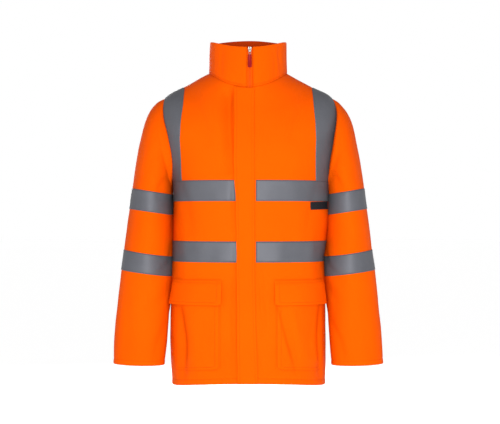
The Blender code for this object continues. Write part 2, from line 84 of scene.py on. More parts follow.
world = bpy.data.worlds.new("white_room")
world.use_nodes = True
room = world.node_tree.nodes["Background"]
room.inputs["Color"].default_value = (1.0, 1.0, 1.0, 1.0)
room.inputs["Strength"].default_value = ROOM_LIGHT
direction = world.node_tree.nodes.new("ShaderNodeTexCoord")
height = world.node_tree.nodes.new("ShaderNodeSeparateXYZ")
shade = world.node_tree.nodes.new("ShaderNodeValToRGB")
world.node_tree.links.new(direction.outputs["Generated"], height.inputs["Vector"])
world.node_tree.links.new(height.outputs["Z"], shade.inputs["Fac"])
world.node_tree.links.new(shade.outputs["Color"], room.inputs["Color"])
for element, position, grey in zip(shade.color_ramp.elements, (0.25, 0.75), (1.0, CEILING_SHADE)):
    element.position = position
    element.color = (grey, grey, grey, 1.0)
bpy.context.scene.world = world

for name, place, aim, side, power in LAMPS:
    lamp = bpy.data.lights.new(name, "AREA")
    lamp.size = side
    lamp.energy = power
    lamp_object = bpy.data.objects.new(name, lamp)
    lamp_object.location = place
    towards = np.array(aim) - place
    yaw = math.atan2(towards[1], towards[0]) - math.pi / 2
    pitch = math.atan2(towards[2], math.hypot(towards[0], towards[1])) + math.pi / 2
    lamp_object.rotation_euler = (pitch, 0.0, yaw)
    lamp_object.visible_camera = False
    bpy.context.scene.collection.objects.link(lamp_object)

floor_material = bpy.data.materials.new("pale_floor")
floor_material.use_nodes = True
floor_shader = floor_material.node_tree.nodes["Principled BSDF"]
floor_shader.inputs["Base Color"].default_value = (0.86, 0.86, 0.86, 1.0)
floor_shader.inputs["Roughness"].default_value = 0.9
floor_shader.inputs["Emission Color"].default_value = (1.0, 1.0, 1.0, 1.0)
floor_shader.inputs["Emission Strength"].default_value = FLOOR_GLOW
floor_mesh = bpy.data.meshes.new("floor")
floor_mesh.from_pydata(
    [(x * FLOOR_HALF, y * FLOOR_HALF, FLOOR_Z) for x, y in ((-1, -1), (1, -1), (1, 1), (-1, 1))],
    [], [(0, 1, 2, 3)])
floor_mesh.materials.append(floor_material)
floor = bpy.data.objects.new("floor", floor_mesh)
bpy.context.scene.collection.objects.link(floor)


# --- Fronts and back ------------------------------------------------------------------------------
# Three panels of coated woven cloth, fluorescent orange outside; their inside is a darker, redder orange that
# is painted shade.
# They are sewn together at the side and shoulder seams and hang from the shoulders; the hem is
# turned up once and topstitched.
CLOTH = 0.0016
BODY_RINGS = np.array([
    # side_z  half_w   front    back   front_rise back_rise square
    (-0.7640, 0.1880, 0.1430, 0.1400, 0.0140, 0.0020, 2.50),  # 0 hem
    (-0.7000, 0.1905, 0.1435, 0.1400, 0.0090, 0.0010, 2.50),  # 1
    (-0.5900, 0.1910, 0.1430, 0.1380, 0.0020, 0.0000, 2.50),  # 2 hip
    (-0.4620, 0.1865, 0.1410, 0.1340, 0.0000, 0.0000, 2.45),  # 3 lower edge of the waist tape
    (-0.4120, 0.1855, 0.1400, 0.1320, 0.0000, 0.0000, 2.42),  # 4 upper edge of the waist tape
    (-0.3160, 0.1845, 0.1380, 0.1300, 0.0000, 0.0000, 2.38),  # 5 lower edge of the chest tape
    (-0.2660, 0.1860, 0.1370, 0.1300, 0.0000, 0.0000, 2.35),  # 6 armpit, upper edge of the chest tape
    (-0.2150, 0.2000, 0.1340, 0.1290, -0.0080, -0.0060, 2.30),  # 7
    (-0.1550, 0.2200, 0.1300, 0.1260, -0.0240, -0.0180, 2.25),  # 8
    (-0.1030, 0.2260, 0.1255, 0.1200, -0.0420, -0.0280, 2.20),  # 9
    (-0.0600, 0.2035, 0.1200, 0.1110, -0.0540, -0.0220, 2.10),  # 10 shoulder tip
    (-0.0330, 0.1560, 0.1120, 0.0970, -0.0480, -0.0020, 2.05),  # 11
    (0.0000, 0.0955, 0.1050, 0.0800, -0.0410, 0.0120, 2.10),  # 12 neck seam
])
WAIST_LOW, WAIST_HIGH, CHEST_LOW, ARMPIT, TIP, NECK = 3, 4, 5, 6, 10, 12
SIDE = math.pi / 2
# How far the armholes cut into the back and into each front, as angles. The wearer's left front is
# pulled further over its sleeve.
ARMHOLE_BACK = math.radians(29)
ARMHOLE_FRONT = {"left": math.radians(20), "right": math.radians(31)}
ZIP_X, ZIP_HALF = 0.004, 0.007
HEM_DEPTH = 0.0145  # the turned-up hem, from its edge to its stitching
HEM_ROLL = 0.006  # how far above its edge the hem is thickest
PUCKER_REACH = 0.022  # how far small puckers run up from the hem's edge
SIDE_RADIUS = 0.19  # of the body at its side seams
NECK_FADE = 0.40  # the part of a row below the neck seam over which the folds die away
FOLD_STEPS = 9


def add_ends(rows):
    """Rows with one more drawn on straight beyond each end."""
    return np.concatenate([2 * rows[:1] - rows[1:2], rows, 2 * rows[-1:] - rows[-2:-1]])


def smooth(before, here, there, after, part):
    """A part of the way from here to there, on a smooth curve through the rows before and after too."""
    bend = 2 * before - 5 * here + 4 * there - after
    twist = 3 * (here - there) + after - before
    return here + 0.5 * part * (there - before + part * (bend + part * twist))


def table_row(table, place):
    """Rows of a table at places between its rows."""
    place = np.asarray(place, float)
    first = np.clip(place.astype(int), 0, len(table) - 2)
    part = (place - first).reshape(place.shape + (1,) * (table.ndim - 1))
    table = add_ends(table)
    return smooth(*(table[first + step] for step in range(4)), part)


def ring_point(rings, place, angle):
    """Points of a ringed surface at places and angles."""
    place, angle = np.broadcast_arrays(place, angle)
    side_z, half_w, front, back, front_rise, back_rise, square = np.moveaxis(table_row(rings, place), -1, 0)
    across, along = np.sin(angle), np.cos(angle)
    reach = np.where(along > 0, front, back)
    rise = np.where(along > 0, front_rise, back_rise)
    x = np.sign(across) * half_w * np.abs(across) ** (2 / square)
    y = -np.sign(along) * reach * np.abs(along) ** (2 / square)
    return np.stack((x, y, side_z + rise * along * along), axis=-1)


def angle_of_x(rings, place, x):
    """The angle, in front of the side line, at which a ring is x from the middle."""
    row = table_row(rings, place)
    share = np.clip(np.abs(x) / row[..., 1], 0.0, 1.0)
    return np.sign(x) * np.arcsin(share ** (row[..., 6] / 2))


def armhole_cut(place, reach):
    """How far the armhole cuts in from the side line at a place, as an angle."""
    share = np.clip((np.asarray(place, float) - ARMPIT) / (TIP - ARMPIT), 0.0, 1.0)
    return reach * np.sqrt(np.maximum(np.sin(math.pi * share), 0.0))


def unit(vectors):
    return vectors / np.maximum(np.linalg.norm(vectors, axis=-1, keepdims=True), 1e-12)


def ring_normal(rings, place, angle):
    """The outward direction of a ringed surface."""
    step = 0.004
    across = ring_point(rings, place, angle + step) - ring_point(rings, place, angle - step)
    up = ring_point(rings, place + step, angle) - ring_point(rings, place - step, angle)
    return unit(np.cross(across, up))


def fold_depth(points, normals, folds):
    """How far soft folds move a surface out. Each is a line of points, a half width, a depth and a lean.

    A fold dies away at both ends of its line. A lean makes the side to the right of the line wider.
    """
    moved = np.zeros(points.shape[:-1])
    for line, width, depth, lean in folds:
        steps = np.diff(line, axis=0)
        lengths = np.maximum(np.linalg.norm(steps, axis=1), 1e-9)
        begun = np.concatenate([[0.0], np.cumsum(lengths)])
        best = np.full(points.shape[:-1], 1.0)
        at = np.zeros_like(best)
        side = np.zeros_like(best)
        for start, step, length, before in zip(line[:-1], steps, lengths, begun):
            away = points - start
            along = np.clip(away @ step / length ** 2, 0.0, 1.0)
            off = away - along[..., None] * step
            distance = np.linalg.norm(off, axis=-1)
            nearer = distance < best
            best = np.where(nearer, distance, best)
            at = np.where(nearer, (before + along * length) / begun[-1], at)
            hand = np.sign(np.einsum("...k,...k", np.cross(step, normals), off))
            side = np.where(nearer, hand, side)
        spread = width * (1 + lean * side)
        moved += depth * np.exp(-(best / spread) ** 2) * np.clip(4 * at * (1 - at), 0, 1) ** 0.8
    return moved


SWELLS = (
    # direction of a long shallow wave through the cloth, its wavelength, height and start
    ((0.92, 0.10, 0.38), 0.137, 0.00050, 0.7),
    ((0.75, -0.25, -0.61), 0.093, 0.00036, 2.1),
    ((0.20, 0.55, 0.81), 0.171, 0.00046, 4.0),
    ((0.98, 0.05, -0.18), 0.061, 0.00022, 5.2),
    ((0.35, -0.60, 0.72), 0.044, 0.00014, 1.3),
)


def unevenness(points):
    """The slight unevenness that runs through all of the cloth, the same for every piece laid on it."""
    moved = np.zeros(points.shape[:-1])
    for direction, length, height, start in SWELLS:
        moved += height * np.sin(points @ np.array(direction) * (2 * math.pi / length) + start)
    return moved


def path_through(corners, steps=FOLD_STEPS):
    """The two values of the corners, read at even steps from the first corner to the last."""
    corners = np.array(corners)
    at = np.linspace(0, len(corners) - 1, steps)
    return [np.interp(at, range(len(corners)), corners[:, column]) for column in (0, 1)]


def body_line(corners, behind=False):
    """A fold's line over the body, through corners given as X and Z, in front or behind."""
    x, z = path_through(corners)
    rows = np.arange(NECK + 1.0)
    place = np.interp(z, ring_point(BODY_RINGS, rows, 0.0)[:, 2], rows)
    angle = angle_of_x(BODY_RINGS, place, x)
    points = ring_point(BODY_RINGS, place, math.pi - angle if behind else angle)
    if not behind:
        points[:, 2] += np.maximum(z - ring_point(BODY_RINGS, NECK, 0.0)[2], 0.0)
    return points


def folds_on(line, table):
    """Folds from a table that gives the corners of each one's line, its half width, depth and lean."""
    return [(line(corners), *sizes) for corners, *sizes in table]


BODY_FOLDS = folds_on(body_line, (
    # front: corners of its line (x, z), half width, depth (a trough is below 0), lean
    (((-0.0440, 0.055), (-0.0445, -0.100), (-0.0390, -0.255)), 0.0135, -0.0150, 0.5),
    (((-0.0360, -0.010), (-0.0345, -0.160), (-0.0330, -0.300)), 0.0045, -0.0020, 0.0),
    (((-0.0340, -0.255), (-0.0330, -0.385)), 0.0065, -0.0046, 0.3),
    (((-0.0305, -0.380), (-0.0300, -0.560)), 0.0045, -0.0020, 0.0),
    (((-0.0320, -0.500), (-0.0310, -0.640), (-0.0340, -0.790)), 0.0075, -0.0056, 0.4),
    (((0.0245, -0.455), (0.0300, -0.540), (0.0380, -0.640)), 0.0070, -0.0036, -0.3),
    (((0.0340, -0.480), (0.0420, -0.560), (0.0500, -0.660)), 0.0110, 0.0012, 0.0),
    (((0.0255, -0.670), (0.0270, -0.735)), 0.0060, -0.0016, 0.0),
    (((0.0680, -0.545), (0.0900, -0.630), (0.1160, -0.725)), 0.0090, -0.0056, -0.4),
    (((0.0950, -0.540), (0.1090, -0.590), (0.1200, -0.650)), 0.0120, 0.0022, 0.0),
    (((0.1700, -0.560), (0.1640, -0.640), (0.1760, -0.740)), 0.0130, -0.0070, 0.2),
    (((-0.1650, -0.560), (-0.1560, -0.640), (-0.1560, -0.740)), 0.0170, -0.0105, 0.2),
    (((-0.1330, -0.560), (-0.1240, -0.640), (-0.1220, -0.730)), 0.0150, 0.0026, 0.0),
    (((-0.0560, -0.655), (-0.0390, -0.693)), 0.0050, -0.0014, 0.3),
    (((-0.1420, -0.070), (-0.1150, -0.120), (-0.0900, -0.190)), 0.0190, -0.0046, 0.3),
    (((0.1400, -0.075), (0.1180, -0.130), (0.1010, -0.185)), 0.0170, -0.0036, -0.3),
    (((-0.1700, -0.262), (-0.1480, -0.320), (-0.1380, -0.400)), 0.0200, -0.0034, 0.2),
    (((0.1700, -0.268), (0.1520, -0.325), (0.1440, -0.410)), 0.0200, -0.0030, -0.2),
    (((-0.1000, -0.270), (-0.0880, -0.400), (-0.0930, -0.520)), 0.0210, -0.0014, 0.2),
    (((0.0880, -0.280), (0.0980, -0.400), (0.0900, -0.510)), 0.0190, -0.0012, -0.2),
    (((-0.1550, -0.330), (-0.1480, -0.450), (-0.1560, -0.560)), 0.0160, 0.0018, 0.0),
    (((0.1560, -0.340), (0.1500, -0.450), (0.1600, -0.550)), 0.0150, 0.0018, 0.0),
    (((-0.0700, -0.560), (-0.0760, -0.650), (-0.0690, -0.740)), 0.0140, 0.0016, 0.0),
))
# The wearer's left side stands out in one wide ridge, from below the chest tape to above the armpit.
LEFT_SIDE = ring_point(BODY_RINGS, np.linspace(3.2, 8.0, FOLD_STEPS), math.radians(82))
BODY_FOLDS.append((LEFT_SIDE, 0.0480, 0.0135, 0.0))
BODY_FOLDS += folds_on(lambda corners: body_line(corners, behind=True), (
    # back, in the same way
    (((-0.1500, -0.090), (-0.1180, -0.190), (-0.1060, -0.330)), 0.0190, -0.0034, 0.3),
    (((0.1480, -0.095), (0.1220, -0.180), (0.1000, -0.350)), 0.0180, -0.0030, -0.3),
    (((-0.1700, -0.255), (-0.1440, -0.320), (-0.1300, -0.430)), 0.0140, -0.0030, 0.2),
    (((0.1700, -0.250), (0.1470, -0.310), (0.1360, -0.420)), 0.0130, -0.0026, -0.2),
    (((-0.1380, -0.430), (-0.1500, -0.560), (-0.1470, -0.740)), 0.0220, -0.0044, 0.2),
    (((0.1400, -0.420), (0.1520, -0.570), (0.1420, -0.740)), 0.0210, -0.0040, -0.2),
    (((-0.0560, -0.380), (-0.0640, -0.560), (-0.0550, -0.745)), 0.0250, -0.0030, 0.2),
    (((0.0480, -0.400), (0.0590, -0.570), (0.0660, -0.745)), 0.0240, -0.0034, -0.2),
    (((-0.0980, -0.480), (-0.1020, -0.620), (-0.0960, -0.740)), 0.0190, 0.0028, 0.0),
    (((0.0990, -0.470), (0.1010, -0.620), (0.1050, -0.740)), 0.0190, 0.0026, 0.0),
    (((-0.0100, -0.060), (0.0040, -0.160), (-0.0060, -0.260)), 0.0300, 0.0022, 0.0),
    (((-0.1000, -0.385), (0.0000, -0.402), (0.0960, -0.388)), 0.0160, -0.0016, 0.0),
    (((-0.0500, -0.045), (0.0000, -0.064), (0.0500, -0.047)), 0.0100, -0.0014, 0.0),
))


def ridge(distance, width=0.0030, height=-0.0008):
    """How far a soft ridge lifts the cloth, at a distance from its crest.

    A height below 0 is a groove. The one given here is the groove of a plain seam.
    """
    return height * np.exp(-(distance / width) ** 2)


def body_point(place, angle, lift=0.0):
    """Points of the body's cloth with its folds, lifted off it by the thickness of what lies below."""
    place, angle = np.broadcast_arrays(np.asarray(place, float), np.asarray(angle, float))
    points, normals = ring_point(BODY_RINGS, place, angle), ring_normal(BODY_RINGS, place, angle)
    below_neck = 1 - ridge(NECK - np.minimum(place, NECK), NECK_FADE, 1.0)
    moved = fold_depth(points, normals, BODY_FOLDS) * below_neck + unevenness(points)
    above_hem = place * (BODY_RINGS[1, 0] - BODY_RINGS[0, 0])
    moved += ridge(above_hem - HEM_DEPTH, 0.0028, -0.0006) + ridge(above_hem - HEM_ROLL, 0.005, 0.0005)
    moved += ridge(above_hem, PUCKER_REACH, 0.00035) * np.sin(angle * 83.0 + 2.0 * np.sin(angle * 17.0))
    beside_side_seam = np.abs(SIDE - np.abs(np.mod(angle + math.pi, math.tau) - math.pi)) * SIDE_RADIUS
    moved += np.where(place < ARMPIT, ridge(beside_side_seam), 0.0)
    return points + normals * (moved + lift)[..., None]


LOWER_PLACES = np.interp(np.linspace(BODY_RINGS[0, 0], BODY_RINGS[ARMPIT, 0], 138),
                         BODY_RINGS[:ARMPIT + 1, 0], np.arange(ARMPIT + 1.0))
ARMHOLE_PLACES = ARMPIT + (TIP - ARMPIT) * (1 - np.cos(np.linspace(0, math.pi, 72))) / 2
SHOULDER_PLACES = np.linspace(TIP, NECK, 24)
BODY_PLACES = np.concatenate([LOWER_PLACES, ARMHOLE_PLACES[1:], SHOULDER_PLACES[1:]])


def left_front_span(place):
    return angle_of_x(BODY_RINGS, place, ZIP_X + ZIP_HALF), SIDE - armhole_cut(place, ARMHOLE_FRONT["left"])


def right_front_span(place):
    return -SIDE + armhole_cut(place, ARMHOLE_FRONT["right"]), angle_of_x(BODY_RINGS, place, ZIP_X - ZIP_HALF)


def back_span(place):
    half = SIDE - armhole_cut(place, ARMHOLE_BACK)
    return math.pi - half, math.pi + half


def between(span, places, columns):
    """Places and angles of a grid that fills a span, row by row."""
    start, end = span(places)
    share = np.linspace(0, 1, columns + 1)
    start, end = np.broadcast_to(start, places.shape), np.broadcast_to(end, places.shape)
    angles = start[:, None] + (end - start)[:, None] * share
    return np.broadcast_to(places[:, None], angles.shape), angles


def lay_out(points):
    """Where each point of a grid lies on the flat cloth, in metres: across and up the grain."""
    across = np.linalg.norm(np.diff(points, axis=1), axis=2)
    across = np.concatenate([np.zeros((len(points), 1)), np.cumsum(across, axis=1)], axis=1)
    across -= across[:, across.shape[1] // 2][:, None]
    up = np.linalg.norm(np.diff(points, axis=0), axis=2)
    up = np.concatenate([np.zeros((1, points.shape[1])), np.cumsum(up, axis=0)])
    return np.stack((across, up), axis=-1)


def placed(name, mesh, materials, body="jacket"):
    """A mesh made into a piece that rides on a body."""
    mesh.shade_smooth()
    for material in materials:
        mesh.materials.append(material)
    piece = bpy.data.objects.new(name, mesh)
    bpy.context.scene.collection.objects.link(piece)
    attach(piece, body)
    return piece


def cloth_piece(name, points, wall, materials, closed=False, rim=0.0):
    """A sheet of cloth through a grid of points, with its thickness, riding on the jacket."""
    flat = lay_out(points)
    rows, columns = points.shape[:2]
    bm = bmesh.new()
    bmesh.ops.create_grid(bm, x_segments=columns - 1, y_segments=rows - 1, size=1.0)
    mesh = bpy.data.meshes.new(name)
    bm.to_mesh(mesh)
    bm.free()
    mesh.vertices.foreach_set("co", points.reshape(-1).astype(np.float32))
    corner = np.empty(len(mesh.loops), np.int32)
    mesh.loops.foreach_get("vertex_index", corner)
    grain = mesh.uv_layers.new(name="grain")
    grain.data.foreach_set("uv", flat.reshape(-1, 2)[corner].reshape(-1).astype(np.float32))
    if closed:
        bm = bmesh.new()
        bm.from_mesh(mesh)
        bmesh.ops.remove_doubles(bm, verts=bm.verts, dist=1e-6)
        bm.to_mesh(mesh)
        bm.free()
    piece = placed(name, mesh, materials)
    solidify = piece.modifiers.new("Wall", "SOLIDIFY")
    solidify.thickness = wall
    solidify.offset = 0.0
    solidify.material_offset = len(materials) - 1
    if rim:
        rounded = piece.modifiers.new("Rolled edge", "BEVEL")
        rounded.width = rim
        rounded.segments = 3
        rounded.limit_method = "ANGLE"
        rounded.angle_limit = math.radians(50)
    return piece


class Finish:
    """A procedural material being made: its nodes are added to a Principled shader by short calls."""

    def __init__(self, name, roughness, specular):
        self.material = bpy.data.materials.new(name)
        self.material.use_nodes = True
        self.nodes = self.material.node_tree.nodes
        self.links = self.material.node_tree.links
        self.shader = self.nodes["Principled BSDF"]
        self.shader.inputs["Roughness"].default_value = roughness
        self.shader.inputs["Specular IOR Level"].default_value = specular

    def plug(self, socket, value):
        """A socket takes another node's output as a link, and anything else as its value."""
        if hasattr(value, "is_output"):
            self.links.new(value, socket)
        else:
            socket.default_value = value

    def node(self, kind, settings=None, **inputs):
        made = self.nodes.new(kind)
        for key, value in (settings or {}).items():
            setattr(made, key, value)
        for key, value in inputs.items():
            self.plug(made.inputs[key.replace("_", " ")], value)
        return made

    def place(self, source="UV"):
        return self.node("ShaderNodeTexCoord").outputs[source]

    def noise(self, scale, detail=2.0):
        made = self.node("ShaderNodeTexNoise", Vector=self.place("Object"), Scale=scale, Detail=detail)
        return made.outputs["Fac"]

    def ramp(self, value, *stops):
        """A colour ramp through (position, colour) stops."""
        made = self.node("ShaderNodeValToRGB", Fac=value)
        while len(made.color_ramp.elements) < len(stops):
            made.color_ramp.elements.new(0.5)
        for element, (position, colour) in zip(made.color_ramp.elements, stops):
            element.position = position
            element.color = (*colour, 1.0)
        return made.outputs["Color"]

    def sum_of(self, kind, first, second):
        made = self.node("ShaderNodeMath", {"operation": kind})
        self.plug(made.inputs[0], first)
        self.plug(made.inputs[1], second)
        return made.outputs[0]

    def mix(self, first, share, second):
        """This share of the first value and the rest of the second."""
        return self.sum_of("ADD", self.sum_of("MULTIPLY", first, share),
                           self.sum_of("MULTIPLY", second, 1 - share))

    def bands(self, direction, thread, distortion=0.0):
        """Raised threads this wide, across or up the grain."""
        return self.node("ShaderNodeTexWave", {"bands_direction": direction, "wave_profile": "SIN"},
                         Vector=self.place(), Scale=math.tau / 20 / thread / 2,
                         Distortion=distortion).outputs["Fac"]

    def colour(self, output):
        self.links.new(output, self.shader.inputs["Base Color"])

    def roughness(self, value, spread, least):
        """Roughness that rises from its least by a spread, as a value goes from 0 to 1."""
        self.links.new(self.sum_of("ADD", self.sum_of("MULTIPLY", value, spread), least),
                       self.shader.inputs["Roughness"])

    def bump(self, height, strength, distance):
        made = self.node("ShaderNodeBump", Height=height, Strength=strength, Distance=distance)
        self.links.new(made.outputs["Normal"], self.shader.inputs["Normal"])


def coated_cloth(name, fresh, dull, thread=0.00045, weave=0.35):
    """Plain-woven cloth with a thin coating: its threads show through as a fine even grain."""
    finish = Finish(name, 0.62, 0.03)
    finish.shader.inputs["Specular Tint"].default_value = (1.0, 0.42, 0.12, 1.0)
    shade = finish.mix(finish.noise(7.0, 3.0), 0.6, finish.noise(420.0))
    finish.colour(finish.ramp(shade, (0.34, dull), (0.62, fresh)))
    finish.roughness(finish.noise(60.0), 0.16, 0.54)
    threads = finish.sum_of("MULTIPLY", finish.bands("X", thread, 0.4), finish.bands("Y", thread, 0.4))
    creased = finish.sum_of("MULTIPLY", finish.noise(95.0, 3.0), 0.9)
    finish.bump(finish.sum_of("ADD", threads, creased), weave, 0.00022)
    return finish.material


orange_cloth = coated_cloth("orange_cloth", (0.665, 0.0730, 0.0004), (0.625, 0.0655, 0.0004))
# The inside faces are the same orange cloth: the darker, redder colour of this backing is painted shade for
# the inside of the jacket.
backing_painted_shade = coated_cloth("orange_backing_painted_shade", (0.540, 0.0440, 0.0030), (0.480, 0.0370, 0.0030), 0.0006, 0.5)

for name, span, columns in (("front_left_panel", left_front_span, 88),
                            ("front_right_panel", right_front_span, 88),
                            ("back_panel", back_span, 160)):
    node = name.replace("_panel", "")
    places, angles = between(span, BODY_PLACES, columns)
    panel = cloth_piece(name, body_point(places, angles), CLOTH, (orange_cloth, backing_painted_shade))
    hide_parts(node)


# --- Sleeves --------------------------------------------------------------------------------------
# Each sleeve is one panel of the same cloth, closed by a seam under the arm and set into the armhole.
# It hangs straight, with soft drag folds from the armhole, a few across the elbow and a turned-up cuff.
SLEEVE_RINGS = np.array([
    # outer_x outer_z  inner_x  inner_z  front_y  back_y
    (0.2270, -0.0755, 0.1900, -0.2760, -0.0770, 0.0750),  # 1 cap
    (0.2450, -0.0985, 0.1900, -0.2830, -0.0825, 0.0800),  # 2 cap
    (0.2590, -0.1370, 0.1900, -0.2880, -0.0865, 0.0830),  # 3 cap
    (0.2740, -0.2050, 0.1900, -0.2930, -0.0880, 0.0830),  # 4
    (0.2855, -0.2840, 0.1900, -0.2990, -0.0870, 0.0780),  # 5 upper edge of the upper tape
    (0.2915, -0.3340, 0.1900, -0.3490, -0.0870, 0.0710),  # 6 lower edge of the upper tape
    (0.2985, -0.3850, 0.1902, -0.4010, -0.0880, 0.0620),  # 7
    (0.3050, -0.4340, 0.1908, -0.4510, -0.0890, 0.0530),  # 8 upper edge of the lower tape
    (0.3110, -0.4830, 0.1915, -0.4990, -0.0900, 0.0430),  # 9 lower edge of the lower tape
    (0.3190, -0.5650, 0.1945, -0.5780, -0.0910, 0.0280),  # 10
    (0.3260, -0.6400, 0.1990, -0.6480, -0.0900, 0.0160),  # 11
    (0.3295, -0.7115, 0.2050, -0.7150, -0.0880, 0.0080),  # 12 cuff
])
INNER_OUT = {
    # how much further out the inner edge of each sleeve lies at each row
    "left": (0.004, 0.005, 0.006, 0.007, 0.007, 0.006, 0.004, 0.002, 0.0, 0.0, 0.0, 0.0),
    "right": (0.0,) * 12,
}
CUFF = 12
CUFF_HEM = 0.0120  # the turned-up cuff, from its edge to its stitching
ARMHOLE_AIR = 0.0004
UNDER_ARM = 0.52  # the turn at which the sleeve's seam runs
SLEEVE_GIRTH = 0.37
SLEEVE_COLUMNS = 110
SLEEVE_PLACES = np.concatenate([np.linspace(CUFF, 5, 118), np.linspace(5, 1, 44)[1:],
                                np.linspace(1, 0, 12)[1:]])


def armhole_seam(side):
    """The armhole of a side, at even turns, as a table of points for the left sleeve's frame."""
    hand = 1.0 if side == "left" else -1.0
    down = np.where(SEAM_TURNS <= 0.5, SEAM_TURNS * 2, 2 - SEAM_TURNS * 2)
    at = ARMPIT + (TIP - ARMPIT) * (1 + np.cos(math.pi * down)) / 2
    angle = np.where(SEAM_TURNS <= 0.5, SIDE - armhole_cut(at, ARMHOLE_FRONT[side]),
                     SIDE + armhole_cut(at, ARMHOLE_BACK))
    return body_point(at, hand * angle) * (hand, 1.0, 1.0) + (ARMHOLE_AIR, 0.0, 0.0)


SEAM_TURNS = np.linspace(0, 1, 361)
ARMHOLE_SEAMS = {side: armhole_seam(side) for side in ("left", "right")}


def sleeve_base(place, turn, side):
    """Points of a sleeve without folds, in the left one's frame. Turn 0 is its outer edge, 0.25 its front."""
    place, turn = np.broadcast_arrays(np.asarray(place, float), np.mod(turn, 1.0))
    along, across = np.cos(math.tau * turn), np.sin(math.tau * turn)
    seam = ARMHOLE_SEAMS[side]
    rings = [np.stack([np.interp(turn, SEAM_TURNS, seam[:, axis]) for axis in range(3)], axis=-1)]
    for (outer_x, outer_z, inner_x, inner_z, front_y, back_y), out in zip(SLEEVE_RINGS, INNER_OUT[side]):
        inner_x = inner_x + out
        x = (outer_x + inner_x) / 2 + (outer_x - inner_x) / 2 * along
        z = (outer_z + inner_z) / 2 + (outer_z - inner_z) / 2 * along
        y = (front_y + back_y) / 2 - (back_y - front_y) / 2 * across
        rings.append(np.stack((x, y, z), axis=-1))
    rings = add_ends(np.array(rings))
    first = np.clip(place.astype(int), 0, CUFF - 1)
    spots = tuple(np.indices(place.shape))
    return smooth(*(rings[(first + step,) + spots] for step in range(4)), (place - first)[..., None])


def sleeve_line(corners, side):
    """A fold's line on a sleeve, through corners given as turn and place."""
    turn, place = path_through(corners)
    return sleeve_base(place, turn, side)


LEFT_SLEEVE_FOLDS = (
    # corners of its line (turn, place), half width, depth, lean
    (((0.535, 0.5), (0.545, 4.0), (0.545, 7.0), (0.540, 10.2)), 0.0170, 0.0085, 0.0),
    (((0.40, 0.4), (0.36, 2.5), (0.29, 5.2)), 0.0110, -0.0030, 0.3),
    (((0.33, 0.5), (0.27, 2.2), (0.20, 4.4)), 0.0130, -0.0018, 0.2),
    (((0.62, 0.5), (0.68, 2.5), (0.74, 5.0)), 0.0130, -0.0034, -0.3),
    (((0.52, 4.5), (0.60, 6.0), (0.71, 7.2)), 0.0100, -0.0026, 0.2),
    (((0.55, 6.8), (0.66, 7.8), (0.80, 8.6)), 0.0110, -0.0024, 0.2),
    (((0.50, 7.6), (0.41, 8.6), (0.30, 9.3)), 0.0100, -0.0024, 0.2),
    (((0.48, 9.2), (0.36, 9.8), (0.24, 10.0)), 0.0120, -0.0022, -0.2),
    (((0.53, 9.6), (0.67, 9.9), (0.80, 9.7)), 0.0120, -0.0026, 0.2),
    (((0.45, 10.2), (0.37, 11.0), (0.33, 11.9)), 0.0120, -0.0030, 0.2),
    (((0.15, 9.4), (0.19, 10.6), (0.17, 11.9)), 0.0150, -0.0018, 0.2),
    (((0.60, 10.2), (0.64, 11.0), (0.62, 11.9)), 0.0130, -0.0030, 0.2),
    (((0.85, 9.2), (0.88, 10.6), (0.84, 11.9)), 0.0160, -0.0022, 0.2),
    (((0.25, 5.6), (0.24, 7.5), (0.27, 9.4)), 0.0200, 0.0016, 0.0),
)
RIGHT_SLEEVE_FOLDS = (
    (((0.535, 0.5), (0.545, 4.0), (0.545, 7.0), (0.540, 10.2)), 0.0180, 0.0105, 0.0),
    (((0.41, 0.4), (0.37, 2.8), (0.31, 5.4)), 0.0115, -0.0030, 0.3),
    (((0.31, 0.5), (0.26, 2.0), (0.21, 4.2)), 0.0130, -0.0016, 0.2),
    (((0.61, 0.5), (0.66, 2.7), (0.73, 5.2)), 0.0130, -0.0032, -0.3),
    (((0.53, 4.7), (0.61, 6.2), (0.72, 7.4)), 0.0105, -0.0026, 0.2),
    (((0.56, 7.0), (0.67, 7.9), (0.79, 8.5)), 0.0110, -0.0024, 0.2),
    (((0.49, 7.4), (0.42, 8.4), (0.31, 9.2)), 0.0100, -0.0022, 0.2),
    (((0.47, 9.3), (0.35, 9.9), (0.23, 10.2)), 0.0125, -0.0024, -0.2),
    (((0.54, 9.4), (0.68, 9.8), (0.82, 9.7)), 0.0120, -0.0026, 0.2),
    (((0.44, 10.3), (0.38, 11.1), (0.35, 11.9)), 0.0120, -0.0028, 0.2),
    (((0.13, 9.6), (0.18, 10.8), (0.16, 11.9)), 0.0150, -0.0020, 0.2),
    (((0.59, 10.3), (0.65, 11.1), (0.63, 11.9)), 0.0130, -0.0030, 0.2),
    (((0.86, 9.0), (0.87, 10.7), (0.85, 11.9)), 0.0160, -0.0022, 0.2),
    (((0.26, 5.4), (0.23, 7.3), (0.26, 9.2)), 0.0200, 0.0016, 0.0),
)
SLEEVE_FOLDS = {
    "left": folds_on(lambda corners: sleeve_line(corners, "left"), LEFT_SLEEVE_FOLDS),
    "right": folds_on(lambda corners: sleeve_line(corners, "right"), RIGHT_SLEEVE_FOLDS),
}


